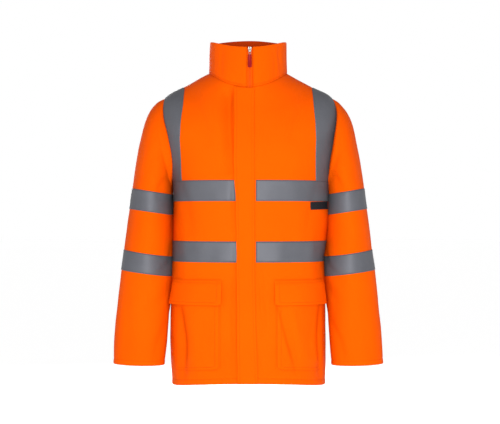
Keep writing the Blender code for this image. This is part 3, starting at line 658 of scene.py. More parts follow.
def sleeve_point(side, place, turn, lift=0.0):
    """Points of a sleeve's cloth with its folds, lifted off it. The right sleeve is turned over."""
    place, turn = np.broadcast_arrays(np.asarray(place, float), np.asarray(turn, float))
    points = sleeve_base(place, turn, side)
    step = 0.003
    low, high = np.maximum(place - step, 0.0), np.minimum(place + step, CUFF)
    down = sleeve_base(high, turn, side) - sleeve_base(low, turn, side)
    around = sleeve_base(place, turn + step, side) - sleeve_base(place, turn - step, side)
    normals = unit(np.cross(around, down))
    flip = np.array((1.0 if side == "left" else -1.0, 1.0, 1.0))
    moved = fold_depth(points, normals, SLEEVE_FOLDS[side]) + unevenness(points * flip)
    moved *= np.clip(place / 1.2, 0.0, 1.0)
    # The turned-up cuff: the groove of its stitching, its roll, and small puckers at its edge.
    above_cuff = (CUFF - place) * (SLEEVE_RINGS[-2, 1] - SLEEVE_RINGS[-1, 1])
    moved += ridge(above_cuff - CUFF_HEM, 0.0028, -0.0006) + ridge(above_cuff - 0.005, 0.005, 0.0004)
    moved += ridge(above_cuff, 0.02, 0.0003) * np.sin(turn * 190.0 + np.sin(turn * 40.0))
    # The seam under the arm, and the armhole: a groove, small gathers and a soft rise over the cap.
    moved += ridge(np.abs(np.mod(turn, 1.0) - UNDER_ARM) * SLEEVE_GIRTH)
    moved += ridge(place, 0.14, -0.0022)
    moved += ridge(place - 0.5, 0.5, 0.00022) * np.sin(turn * 230.0 + 2.0 * np.sin(turn * 31.0))
    moved += ridge(place - 0.75, 0.40, 0.0014) * np.cos(math.pi * (turn - 0.25)) ** 2
    return (points + normals * (moved + lift)[..., None]) * flip


def round_sleeve(side, places, columns):
    """The turns of a closed grid round a sleeve, so that its columns run towards +X in front."""
    turns = np.linspace(UNDER_ARM, UNDER_ARM - 1, columns + 1)
    if side == "right":
        turns = turns[::-1]
    return np.meshgrid(places, turns, indexing="ij")

for side in ("left", "right"):
    places, turns = round_sleeve(side, SLEEVE_PLACES, SLEEVE_COLUMNS)
    sleeve = cloth_piece("sleeve_panel_" + side, sleeve_point(side, places, turns), CLOTH,
                         (orange_cloth, backing_painted_shade), closed=True)
    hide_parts("sleeve_" + side)


# --- Collar ---------------------------------------------------------------------------------------
# A stand collar of two layers of the cloth with a firm filling, sewn into the neck seam. Its two
# ends meet at the zip, and its upper edge is rolled.
COLLAR_WALL = 0.0030
COLLAR_RINGS = np.array([
    (-0.0004, 0.0955, 0.1050, 0.0800, -0.0406, 0.0120, 2.10),
    (0.0250, 0.0950, 0.1040, 0.0800, -0.0340, 0.0135, 2.10),
    (0.0520, 0.0945, 0.1010, 0.0810, -0.0280, 0.0150, 2.10),
    (0.0770, 0.0935, 0.0980, 0.0830, -0.0220, 0.0160, 2.10),
])
COLLAR_TOP = 3
COLLAR_COLUMNS = 190


def collar_line(corners, behind):
    """A fold's line on the collar, through corners given as X and place, in front or behind."""
    x, place = path_through(corners, 7)
    angle = angle_of_x(COLLAR_RINGS, place, x)
    return ring_point(COLLAR_RINGS, place, math.pi - angle if behind else angle)


COLLAR_FOLDS = [(collar_line(corners, behind), *sizes) for corners, behind, *sizes in (
    # corners of its line (x, place), whether it lies behind, half width, depth, lean
    (((-0.0640, -0.1), (-0.0660, 1.4), (-0.0620, 3.0)), False, 0.0070, -0.0014, 0.3),
    (((-0.0800, 0.2), (-0.0790, 1.5), (-0.0810, 3.0)), False, 0.0060, 0.0008, 0.0),
    (((0.0620, -0.1), (0.0650, 1.2), (0.0630, 2.6)), False, 0.0060, -0.0010, -0.3),
    (((0.0780, 0.5), (0.0740, 2.0), (0.0760, 3.1)), False, 0.0070, -0.0014, 0.2),
    (((-0.0230, 0.0), (-0.0200, 1.0), (-0.0220, 1.8)), False, 0.0060, -0.0006, 0.0),
    (((-0.0600, 0.0), (-0.0630, 1.5), (-0.0580, 3.0)), True, 0.0080, -0.0014, 0.0),
    (((0.0560, 0.0), (0.0600, 1.6), (0.0590, 3.0)), True, 0.0080, -0.0016, 0.0),
    (((0.0060, 0.4), (-0.0040, 1.6), (0.0020, 2.8)), True, 0.0150, 0.0012, 0.0),
)]


def collar_point(place, angle, lift=0.0):
    """Points of the collar with its folds, the groove of its seam and small puckers above the seam."""
    place, angle = np.broadcast_arrays(np.asarray(place, float), np.asarray(angle, float))
    points, normals = ring_point(COLLAR_RINGS, place, angle), ring_normal(COLLAR_RINGS, place, angle)
    moved = fold_depth(points, normals, COLLAR_FOLDS) + unevenness(points)
    moved += ridge(place - 0.13, 0.07, -0.0006)
    moved += ridge(place, 0.35, 0.00025) * np.sin(angle * 44.0 + 2.0 * np.sin(angle * 9.0))
    return points + normals * (moved + lift)[..., None]


def collar_span(place):
    start = angle_of_x(COLLAR_RINGS, place, ZIP_X + ZIP_HALF)
    return start, math.tau + angle_of_x(COLLAR_RINGS, place, ZIP_X - ZIP_HALF)


collar_places = np.concatenate([np.linspace(0, 0.3, 7), np.linspace(0.3, COLLAR_TOP, 25)[1:]])
places, angles = between(collar_span, collar_places, COLLAR_COLUMNS)
collar = cloth_piece("stand_collar", collar_point(places, angles), COLLAR_WALL, (orange_cloth, backing_painted_shade),
                     rim=0.0011)
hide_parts("collar")


# --- Zip ------------------------------------------------------------------------------------------
# A closed zip with orange knitted tapes and orange moulded teeth runs from the hem to the top of the
# collar. A nickel slider rides at the top; a wire link in its bridge holds a moulded red rubber tag.
ZIP_PLACES = BODY_PLACES[:-2:2]
ZIP_COLUMNS, ZIP_STEP = 9, 0.0036
TOOTH_PITCH = 0.0021
TOOTH_HALF = 0.0029
TOOTH_THICK = 0.0012
TOOTH_DEPTH = 0.0010


def along_zip(x, lift, step):
    """Points up the closed zip at a distance from its middle, first on the body, then on the collar."""
    lower = body_point(ZIP_PLACES, angle_of_x(BODY_RINGS, ZIP_PLACES, ZIP_X + x), lift)
    places = np.linspace(0, COLLAR_TOP, 30)
    upper = collar_point(places, angle_of_x(COLLAR_RINGS, places, ZIP_X + x), lift)
    line = np.concatenate([lower, upper])
    length = np.concatenate([[0.0], np.cumsum(np.linalg.norm(np.diff(line, axis=0), axis=1))])
    even = np.arange(0.0, length[-1], step)
    return np.stack([np.interp(even, length, line[:, axis]) for axis in range(3)], axis=-1)


def knitted(name, fresh, dull):
    """Zip tape: a close rib of thread up its length."""
    finish = Finish(name, 0.75, 0.03)
    rib = finish.bands("X", 0.0005, 0.6)
    finish.colour(finish.ramp(finish.mix(rib, 0.6, finish.noise(500.0)), (0.2, dull), (0.8, fresh)))
    finish.bump(finish.sum_of("ADD", rib, finish.bands("Y", 0.0007, 1.0)), 0.6, 0.0002)
    return finish.material


def moulded(name, fresh, dull, roughness, specular):
    """Smooth moulded plastic, rubber or thread, with a faint unevenness."""
    finish = Finish(name, roughness, specular)
    finish.colour(finish.ramp(finish.noise(260.0, 3.0), (0.35, dull), (0.65, fresh)))
    finish.bump(finish.noise(900.0), 0.25, 0.0001)
    return finish.material


def plated(name, colour, roughness):
    """Nickel plate, with darker blotches painted in by noise for the dark reflections in it."""
    finish = Finish(name, roughness, 0.5)
    finish.shader.inputs["Metallic"].default_value = 1.0
    # Painted reflection: noise blotches darkened to 0.40 of the plate's colour stand for dark surroundings
    # mirrored in the plate.
    painted_dark_reflection = tuple(0.40 * part for part in colour)
    finish.colour(finish.ramp(finish.noise(900.0, 4.0), (0.35, painted_dark_reflection), (0.6, colour)))
    finish.roughness(finish.noise(1500.0, 3.0), 0.2, roughness - 0.06)
    return finish.material


zip_tape = knitted("orange_zip_tape", (0.640, 0.0700, 0.0004), (0.590, 0.0600, 0.0004))
zip_teeth_plastic = moulded("orange_zip_teeth", (0.600, 0.0620, 0.0004), (0.540, 0.0520, 0.0004), 0.55, 0.04)
nickel = plated("nickel_plate", (0.46, 0.45, 0.44), 0.26)

half = ZIP_HALF - 0.0002
zip_columns = [along_zip(x, -0.0004 - 0.0005 * (abs(x) < TOOTH_HALF), ZIP_STEP)
               for x in np.linspace(-half, half, ZIP_COLUMNS)]
shortest = min(len(column) for column in zip_columns)
zip_grid = np.stack([column[:shortest] for column in zip_columns], axis=1)
zip_tapes = cloth_piece("zip_tapes", zip_grid, 0.0010, (zip_tape,))
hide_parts("zip_chain")


def block(bm, centre, size, axes, taper=1.0):
    """A small block with chamfered ends, its corners given by its centre, size and three axes."""
    corners = []
    for across, share in ((-1, taper), (-0.72, 1.0), (0.72, 1.0), (1, taper)):
        for out, up in ((-1, -1), (1, -1), (1, 1), (-1, 1)):
            offset = np.array((across * size[0], out * size[1] * share, up * size[2] * share)) / 2
            corners.append(bm.verts.new(centre + offset @ axes))
    for ring in range(3):
        for side in range(4):
            here, there = ring * 4 + side, ring * 4 + (side + 1) % 4
            bm.faces.new((corners[here], corners[there], corners[there + 4], corners[here + 4]))
    bm.faces.new(corners[3::-1])
    bm.faces.new(corners[12:])


def finished(name, bm, material, body, smooth):
    """A mesh made into a piece, its edges sharp where they turn by more than this many degrees."""
    bmesh.ops.recalc_face_normals(bm, faces=bm.faces)
    mesh = bpy.data.meshes.new(name)
    bm.to_mesh(mesh)
    bm.free()
    piece = placed(name, mesh, (material,), body)
    mesh.set_sharp_from_angle(angle=math.radians(smooth))
    return piece


bm = bmesh.new()
middle_line = along_zip(0.0, 0.0001, TOOTH_PITCH / 2)
for number, (low, point, high) in enumerate(zip(middle_line[:-2], middle_line[1:-1], middle_line[2:])):
    up = unit(high - low)
    axes = np.array(((1.0, 0.0, 0.0), unit(np.cross((1.0, 0.0, 0.0), up)), up))
    hand = 1.0 if number % 2 else -1.0
    centre = point + (hand * TOOTH_HALF * 0.42, 0.0, 0.0)
    block(bm, centre, (TOOTH_HALF * 1.25, TOOTH_DEPTH, TOOTH_THICK), axes, 0.6)
zip_teeth = finished("zip_teeth", bm, zip_teeth_plastic, "jacket", 30)

# The slider: a front plate with a narrow foot and rounded shoulders, side flanges, and a back plate.
slider_low, slider_high = (np.array(corner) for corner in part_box("zip_slider"))
slider_mid = (slider_low + slider_high) / 2
slider_size = slider_high - slider_low
SLIDER_HALF = (
    # share of half the width, share of half the length from the middle
    (0.52, -1.0), (0.66, -0.93), (0.74, -0.70), (0.80, -0.20), (0.92, 0.15), (1.0, 0.45), (0.98, 0.72),
    (0.86, 0.90), (0.66, 0.99), (0.30, 1.0), (0.16, 0.84),
)
SLIDER_OUTLINE = [*SLIDER_HALF, *((-x, z) for x, z in SLIDER_HALF[::-1])]
SLIDER_PLATE = 0.0013
FLANGE = ((0.86, -0.62), (0.6708, -0.62), (0.6364, 0.62), (0.86, 0.62))
POST = ((-0.18, 0.40), (0.18, 0.40), (0.24, 0.86), (-0.24, 0.86))
BETWEEN_PLATES = 0.0006  # how far the flanges and the post reach into each plate


def plate(bm, outline, centre, half_width, half_length, front_y, back_y):
    """A plate with this outline, standing between two Y values."""
    front, back = ([bm.verts.new((centre[0] + x * half_width, y, centre[2] + z * half_length))
                    for x, z in outline] for y in (front_y, back_y))
    bm.faces.new(front)
    bm.faces.new(back[::-1])
    for this in range(len(outline)):
        following = (this + 1) % len(outline)
        bm.faces.new((front[this], back[this], back[following], front[following]))


bm = bmesh.new()
front_y, back_y = slider_low[1], slider_high[1]
for outline, near_y, far_y in (
        (SLIDER_OUTLINE, front_y, front_y + SLIDER_PLATE),
        (SLIDER_OUTLINE, back_y - SLIDER_PLATE, back_y),
        (FLANGE, front_y + BETWEEN_PLATES, back_y - BETWEEN_PLATES),
        ([(-x, z) for x, z in FLANGE], front_y + BETWEEN_PLATES, back_y - BETWEEN_PLATES),
        (POST, front_y + BETWEEN_PLATES, back_y - BETWEEN_PLATES)):
    plate(bm, outline, slider_mid, slider_size[0] / 2, slider_size[2] / 2, near_y, far_y)
slider = finished("zip_slider_body", bm, nickel, "jacket", 30)
rounded = slider.modifiers.new("Edges", "BEVEL")
rounded.width = 0.0003
rounded.segments = 2
rounded.limit_method = "ANGLE"
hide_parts("zip_slider")
for name in ("zip_slider_bridge", "zip_pull_link"):
    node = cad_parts[name]
    for material_slot in node.material_slots:
        material_slot.material = nickel

# The tag: a tapered rubber bar with a raised rim round a bare sunk panel.
tag_low, tag_high = (np.array(corner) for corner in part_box("zip_pull_tag"))
tag_mid, tag_size = (tag_low + tag_high) / 2, tag_high - tag_low
red_rubber = moulded("red_rubber", (0.230, 0.0012, 0.0040), (0.190, 0.0010, 0.0034), 0.42, 0.12)


def rounded_outline(half_width, half_length, radius, steps=5):
    """Points round a rectangle with rounded corners, from its lower right."""
    points = []
    for corner, (x, z) in enumerate(((1, -1), (1, 1), (-1, 1), (-1, -1))):
        for step in range(steps + 1):
            angle = math.pi / 2 * (corner - 1 + step / steps)
            points.append((x * (half_width - radius) + radius * math.cos(angle),
                           z * (half_length - radius) + radius * math.sin(angle)))
    return points


bm = bmesh.new()
TAG_RINGS = (
    # how far in from the outline, share of the depth from the back (0) to the front (1)
    (0.0009, 0.00), (0.0002, 0.14), (0.0000, 0.35), (0.0000, 0.65), (0.0002, 0.86), (0.0009, 1.00),
    (0.0014, 1.00), (0.0018, 0.80), (0.0022, 0.76),
)
rings = []
for inset, share in TAG_RINGS:
    half_width, half_length = tag_size[0] / 2 - inset, tag_size[2] / 2 - inset
    ring = []
    for x, z in rounded_outline(half_width, half_length, max(0.0020 - inset * 0.7, 0.0005)):
        narrow = 1.0 - 0.10 * (z / half_length * 0.5 + 0.5)
        y = tag_high[1] - share * tag_size[1]
        ring.append(bm.verts.new((tag_mid[0] + x * narrow, y, tag_mid[2] + z)))
    rings.append(ring)
bm.faces.new(rings[0])
for lower, upper in zip(rings[:-1], rings[1:]):
    for this in range(len(lower)):
        following = (this + 1) % len(lower)
        bm.faces.new((lower[this], lower[following], upper[following], upper[this]))
bm.faces.new(rings[-1][::-1])
tag = finished("zip_pull_rubber", bm, red_rubber, "zip_pull", 50)
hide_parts("zip_pull_tag")


# --- Storm flap -----------------------------------------------------------------------------------
# A double strip of the cloth that covers the zip. It is sewn along one edge to the wearer's left
# front, caught in the neck seam and in the hem, and its other edge lies free on the right front.
FLAP_WALL = 0.0022
STORM_FLAP = np.array([
    # z     free_x   sewn_x
    (-0.760, -0.0255, 0.0240),
    (-0.700, -0.0258, 0.0225),
    (-0.600, -0.0266, 0.0188),
    (-0.450, -0.0275, 0.0166),
    (-0.300, -0.0295, 0.0160),
    (-0.260, -0.0340, 0.0155),
    (-0.045, -0.0330, 0.0155),
])
FLAP_COLUMNS = 18
FLAP_TOP_AIR = 0.0022
FLAP_STITCHES = (0.0016, 0.0065)  # how far in from its sewn edge its two rows of stitching run


def flap_point(place, share, lift=0.0):
    """Points of the flap: a share of 0 is its free edge and 1 its sewn edge."""
    place, share = np.broadcast_arrays(np.asarray(place, float), np.asarray(share, float))
    z = ring_point(BODY_RINGS, place, 0.0)[..., 2]
    free_x = np.interp(z, STORM_FLAP[:, 0], STORM_FLAP[:, 1])
    sewn_x = np.interp(z, STORM_FLAP[:, 0], STORM_FLAP[:, 2])
    free_x = free_x + 0.0004 * np.sin(z * 41.0) + 0.0003 * np.sin(z * 97.0 + 1.0)
    angle = angle_of_x(BODY_RINGS, place, free_x + (sewn_x - free_x) * share)
    points, normals = ring_point(BODY_RINGS, place, angle), ring_normal(BODY_RINGS, place, angle)
    stand = 0.0041 - 0.0016 * share ** 2 + 0.0004 * np.sin(z * 57.0) * (1 - share) ** 2
    stand += 0.0005 * np.sin(z * 23.0 + 0.8) * (1 - share)
    from_sewn = (1 - share) * (sewn_x - free_x)
    stand += ridge(from_sewn, 0.0030, -0.0010) + ridge(from_sewn - FLAP_STITCHES[1], 0.0022, -0.0006)
    return points + normals * (unevenness(points) + stand + lift)[..., None]


flap_z = ring_point(BODY_RINGS, BODY_PLACES, 0.0)[:, 2]
flap_places = BODY_PLACES[flap_z < flap_z[-1] - FLAP_TOP_AIR]
places, shares = np.meshgrid(flap_places, np.linspace(0, 1, FLAP_COLUMNS + 1), indexing="ij")
flap = cloth_piece("storm_flap_panel", flap_point(places, shares), FLAP_WALL, (orange_cloth,),
                   rim=0.0009)
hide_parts("storm_flap")


# --- Pockets --------------------------------------------------------------------------------------
# Two patch pockets, each a bag with a turned edge, double-stitched to the front on three sides, under
# a flap that is sewn along its top and hangs free over the bag's mouth. They are empty and lie flat.
POCKET_INNER_X = 0.0665
POCKET_OUTER_ANGLE = math.radians(66)
POCKET_TOP_Z, POCKET_BOTTOM_Z = -0.515, -0.717
POCKET_CORNER = 0.0085
POCKET_FULLNESS = 0.0034
POCKET_WALL = 0.0018
POCKET_COLUMNS, POCKET_ROWS = 56, 64
FLAP_INNER_X = 0.0625
FLAP_OUTER_ANGLE = math.radians(68)
FLAP_TOP_Z, FLAP_BOTTOM_Z = -0.504, -0.5635
FLAP_CORNER = 0.0040
POCKET_FLAP_WALL = 0.0022
POCKET_FLAP_ROWS = 26
POCKET_STITCHES = (0.0016, 0.0075)  # how far in from its edges a bag's two rows of stitching run
COVER_STITCH = 0.0065  # and a flap's
FRONT_PLACES = np.linspace(0, NECK, 400)
FRONT_Z = ring_point(BODY_RINGS, FRONT_PLACES, 0.0)[:, 2]
ARC = 0.118  # metres of cloth to a radian round the front, where the pockets are


def place_of_z(z):
    return np.interp(z, FRONT_Z, FRONT_PLACES)


def cut_corner(height, radius):
    """How far a rounded corner of this radius comes in at a height above its edge."""
    down = np.clip(radius - height, 0.0, radius)
    return radius - np.sqrt(np.maximum(radius ** 2 - down ** 2, 0.0))


def patch(side, inner_x, outer_angle, z, columns, corner):
    """Places and angles of a patch on one front, with rounded lower corners."""
    place = place_of_z(z)[:, None]
    inner = angle_of_x(BODY_RINGS, place, inner_x)
    drawn = cut_corner(z[:, None] - z.min(), corner) / ARC
    share = (1 - np.cos(np.linspace(0.12, math.pi - 0.12, columns + 1))) / 2
    share = (share - share[0]) / (share[-1] - share[0])
    angle = inner + drawn + (outer_angle - inner - 2 * drawn) * share
    place = np.broadcast_to(place, angle.shape)
    if side == "right":
        return place, -angle[:, ::-1]
    return place, angle


def even_ends(low, high, count):
    """Values from low to high, closer together near low."""
    share = np.linspace(0, 1, count + 1)
    return low + (high - low) * (0.35 * share + 0.65 * share ** 1.6)


LEFT_POCKET_FOLDS = (
    # corners of its line as X and Z on the bag, half width, depth, lean
    (((0.0700, -0.545), (0.0920, -0.630), (0.1160, -0.735)), 0.0100, -0.0060, -0.4),
    (((0.1780, -0.560), (0.1680, -0.640), (0.1760, -0.740)), 0.0150, -0.0060, 0.2),
    (((0.0740, -0.560), (0.0900, -0.640), (0.1180, -0.712)), 0.0100, -0.0032, -0.4),
    (((0.0960, -0.560), (0.1080, -0.610), (0.1230, -0.660)), 0.0130, 0.0022, 0.0),
    (((0.1500, -0.590), (0.1440, -0.650), (0.1540, -0.708)), 0.0120, -0.0022, 0.2),
    (((0.0790, -0.668), (0.0900, -0.706)), 0.0080, -0.0014, 0.0),
)
RIGHT_POCKET_FOLDS = (
    (((-0.1640, -0.550), (-0.1540, -0.640), (-0.1560, -0.750)), 0.0190, -0.0100, 0.3),
    (((-0.1660, -0.565), (-0.1560, -0.640), (-0.1480, -0.712)), 0.0150, -0.0040, 0.2),
    (((-0.1320, -0.575), (-0.1240, -0.640), (-0.1260, -0.705)), 0.0150, 0.0020, 0.0),
    (((-0.0800, -0.580), (-0.0880, -0.650), (-0.0820, -0.705)), 0.0110, -0.0016, 0.2),
    (((-0.1080, -0.575), (-0.1020, -0.620), (-0.1060, -0.665)), 0.0120, -0.0012, 0.0),
)


def pocket_line(corners):
    x, z = path_through(corners)
    place = place_of_z(z)
    return ring_point(BODY_RINGS, place, angle_of_x(BODY_RINGS, place, x))


POCKET_FOLDS = {"left": folds_on(pocket_line, LEFT_POCKET_FOLDS),
                "right": folds_on(pocket_line, RIGHT_POCKET_FOLDS)}
under_bag = CLOTH / 2 + POCKET_WALL / 2 + 0.0003


def pocket_point(side, place, angle, lift=0.0):
    """Points of a pocket bag: close to the panel round its three sewn sides, off it in its middle."""
    points, normals = ring_point(BODY_RINGS, place, angle), ring_normal(BODY_RINGS, place, angle)
    height = points[..., 2] - POCKET_BOTTOM_Z
    from_inner = (np.abs(angle) - angle_of_x(BODY_RINGS, place, POCKET_INNER_X)) * ARC
    from_outer = (POCKET_OUTER_ANGLE - np.abs(angle)) * ARC
    edge = np.clip(np.minimum(np.minimum(from_inner, from_outer), height) / 0.030, 0.0, 1.0)
    rise = edge * edge * (3 - 2 * edge)
    moved = unevenness(points) + POCKET_FULLNESS * rise
    for stitched in POCKET_STITCHES:
        for distance in (from_inner, from_outer, height):
            moved += ridge(distance - stitched, 0.0014, -0.00035)
    moved += fold_depth(points, normals, POCKET_FOLDS[side]) * rise
    moved += fold_depth(points, normals, BODY_FOLDS) * (1 - rise)
    return points + normals * (moved + under_bag + lift)[..., None]


FLAP_LIFTS = np.array([
    # how far down the flap, how far it stands off the panel
    (0.0, 0.0026),
    (0.2, 0.0064),
    (0.6, 0.0094),
    (1.0, 0.0118),
])


def pocket_flap_point(side, place, angle, lift=0.0):
    """Points of a pocket flap, close to the panel at its top, clear of the bag at its lower edge."""
    points, normals = ring_point(BODY_RINGS, place, angle), ring_normal(BODY_RINGS, place, angle)
    height = FLAP_TOP_Z - FLAP_BOTTOM_Z
    down = (FLAP_TOP_Z - points[..., 2]) / height
    hanging = np.clip(down, 0, 1)
    sway = 3.0 if side == "left" else 3.7
    stand = np.interp(down, FLAP_LIFTS[:, 0], FLAP_LIFTS[:, 1])
    stand += 0.0011 * hanging ** 2 * np.sin(angle * sway * 2 + sway)
    stand += 0.0016 * hanging * np.clip((np.abs(angle) - 0.95) / 0.25, 0, 1) ** 2
    stand += ridge((1 - down) * height - COVER_STITCH, 0.0018, -0.0003)
    stand += ridge(down * height - COVER_STITCH, 0.0018, -0.0004)
    return points + normals * (unevenness(points) + stand + lift)[..., None]


for side in ("left", "right"):
    z = even_ends(POCKET_BOTTOM_Z, POCKET_TOP_Z, POCKET_ROWS)
    places, angles = patch(side, POCKET_INNER_X, POCKET_OUTER_ANGLE, z, POCKET_COLUMNS, POCKET_CORNER)
    bag = cloth_piece("pocket_bag_" + side, pocket_point(side, places, angles), POCKET_WALL,
                      (orange_cloth,), rim=0.0007)
    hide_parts("pocket_" + side)
    z = even_ends(FLAP_BOTTOM_Z, FLAP_TOP_Z, POCKET_FLAP_ROWS)
    places, angles = patch(side, FLAP_INNER_X, FLAP_OUTER_ANGLE, z, POCKET_COLUMNS, FLAP_CORNER)
    cover = cloth_piece("pocket_cover_" + side, pocket_flap_point(side, places, angles), POCKET_FLAP_WALL,
                        (orange_cloth,), rim=0.0009)
    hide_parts("pocket_flap_" + side)


# --- Reflective tapes -----------------------------------------------------------------------------
# Grey retroreflective tape, 50 mm wide: glass beads bonded on woven cloth. Two tapes run round the
# body, one goes over each shoulder along the armhole, and two run round each sleeve. All are sewn flat.
TAPE, TAPE_WIDTH = 0.0009, 0.050
TAPE_ROWS = 16
TAPE_UNDER_FLAP_X, TAPE_BESIDE_FLAP_X = -0.012, 0.0186
BRACE_INNER_X = np.array([0.160, 0.161, 0.1635, 0.162, 0.158, 0.156])
BRACE_TOP = 10.9
under_tape = CLOTH / 2 + TAPE / 2 + 0.0002

finish = Finish("reflective_tape", 0.50, 0.30)
finish.shader.inputs["Metallic"].default_value = 0.2
finish.shader.inputs["Specular Tint"].default_value = (0.5, 0.5, 0.5, 1.0)
beads, cloudy = finish.noise(1900.0), finish.noise(16.0, 4.0)
finish.colour(finish.ramp(finish.mix(beads, 0.45, cloudy), (0.30, (0.071, 0.073, 0.083)),
                          (0.55, (0.085, 0.087, 0.099)), (0.75, (0.096, 0.099, 0.111))))
finish.roughness(cloudy, 0.16, 0.44)
backing = finish.sum_of("MULTIPLY", finish.bands("X", 0.0006, 0.3), finish.bands("Y", 0.0006, 0.3))
finish.bump(finish.sum_of("ADD", beads, backing), 0.25, 0.00012)
reflective_tape = finish.material


def left_tape_span(place):
    return angle_of_x(BODY_RINGS, place, TAPE_BESIDE_FLAP_X), left_front_span(place)[1]


def right_tape_span(place):
    return right_front_span(place)[0], angle_of_x(BODY_RINGS, place, TAPE_UNDER_FLAP_X)


BODY_TAPES = []
for level, low, high in (("chest", CHEST_LOW, ARMPIT), ("waist", WAIST_LOW, WAIST_HIGH)):
    for panel, span, columns in (("front_left", left_tape_span, 84), ("front_right", right_tape_span, 90),
                                 ("back", back_span, 150)):
        place = np.linspace(low, high, TAPE_ROWS + 1)
        places, angles = between(span, place, columns)
        tape = cloth_piece(f"{level}_band_{panel}", body_point(places, angles, under_tape), TAPE,
                           (reflective_tape,))
        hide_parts(f"{level}_tape_{panel}")
        BODY_TAPES.append((place, angles))

BRACES = []
brace_places = np.concatenate([ARMHOLE_PLACES[:-1], np.linspace(TIP, BRACE_TOP, 12)])
inner_x = np.interp(brace_places, range(ARMPIT, ARMPIT + 6), BRACE_INNER_X)
inner = angle_of_x(BODY_RINGS, brace_places, inner_x)
for panel, hand, reach in (
        ("front_left", 1, ARMHOLE_FRONT["left"]), ("front_right", -1, ARMHOLE_FRONT["right"]),
        ("back_left", 1, ARMHOLE_BACK), ("back_right", -1, ARMHOLE_BACK)):
    behind = panel.startswith("back")
    outer = SIDE - 0.004 - armhole_cut(brace_places, reach)
    share = np.linspace(0, 1, TAPE_ROWS + 1)
    angles = hand * (inner[:, None] + (np.maximum(outer, inner + 0.002) - inner)[:, None] * share)
    if behind:
        angles = math.pi - angles
    if angles[0, 0] > angles[0, -1]:
        angles = angles[:, ::-1]
    places = np.broadcast_to(brace_places[:, None], angles.shape)
    brace = cloth_piece(f"shoulder_band_{panel}", body_point(places, angles, under_tape), TAPE,
                        (reflective_tape,))
    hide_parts(f"shoulder_tape_{panel}")
    BRACES.append(angles)

SLEEVE_TAPES = (("upper", 5, 6), ("lower", 8, 9))
for side in ("left", "right"):
    for level, top, bottom in SLEEVE_TAPES:
        places, turns = round_sleeve(side, np.linspace(bottom, top, TAPE_ROWS + 1), SLEEVE_COLUMNS)
        band = cloth_piece(f"sleeve_band_{level}_{side}", sleeve_point(side, places, turns, under_tape), TAPE,
                           (reflective_tape,), closed=True)
        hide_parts(f"sleeve_tape_{level}_{side}")


# --- Label ----------------------------------------------------------------------------------------
# A small black woven label with a bare face, caught under the lower edge of the chest tape on the
# wearer's left, its cut edges bound with stitching.
LABEL_FROM_X, LABEL_TO_X, LABEL_TOP_Z, LABEL_HEIGHT = 0.1495, 0.1800, -0.3170, 0.0190
LABEL_SLANT = 0.0016
LABEL_WALL = 0.0009
finish = Finish("black_weave", 0.62, 0.20)
woven = finish.sum_of("MULTIPLY", finish.bands("X", 0.00035), finish.bands("Y", 0.00035))
finish.colour(finish.ramp(woven, (0.1, (0.0045, 0.0045, 0.0060)), (0.9, (0.0140, 0.0140, 0.0170))))
finish.bump(woven, 0.6, 0.00015)
black_weave = finish.material


def label_point(across, down, lift=0.0):
    """Points of the label at shares of its width, from the middle of the body, and of its height."""
    across, down = np.broadcast_arrays(across, down)
    x = LABEL_FROM_X + (LABEL_TO_X - LABEL_FROM_X) * across
    z = LABEL_TOP_Z - LABEL_HEIGHT * down + LABEL_SLANT * (across - 0.5)
    place = place_of_z(z)
    curl = 0.0010 + 0.0012 * down ** 2 + 0.0005 * down * np.sin(across * math.pi)
    return body_point(place, angle_of_x(BODY_RINGS, place, x), CLOTH / 2 + LABEL_WALL / 2 + curl + lift)


across, down = np.meshgrid(np.linspace(0, 1, 21), np.linspace(1, 0, 13))
label = cloth_piece("side_label", label_point(across, down), LABEL_WALL, (black_weave,),
                    rim=0.0003)
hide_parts("label")


# --- Stitching ------------------------------------------------------------------------------------
# Lockstitch in orange thread on the cloth and in grey thread on the tapes, about seven stitches to
# 25 mm. Every stitch is a short bead of thread that sinks into the cloth at both ends.
STITCH_LENGTH, STITCH_GAP = 0.0027, 0.0009
THREAD = 0.00036
STITCH_RINGS = ((-0.36, 0.75, 0.10), (0.0, 1.0, 0.45), (0.36, 0.75, 0.10))  # along, girth, height
STITCH_SIDES = 5
# The orange thread is darker and redder than the cloth: painted shade of the needle holes and of the thread's
# shadow along each stitch line.
orange_thread_painted_shade = moulded("orange_thread_painted_shade", (0.480, 0.0340, 0.0006), (0.400, 0.0270, 0.0006), 0.6, 0.03)
grey_thread = moulded("grey_thread", (0.070, 0.071, 0.078), (0.052, 0.053, 0.060), 0.6, 0.05)
black_thread = moulded("black_thread", (0.030, 0.030, 0.034), (0.020, 0.020, 0.024), 0.60, 0.20)


def seam_line(point, lift, *where):
    """A stitch line on a surface, and its outward directions, read a little above the line."""
    low, high = point(*where, lift), point(*where, lift + 0.001)
    return low, unit(high - low)


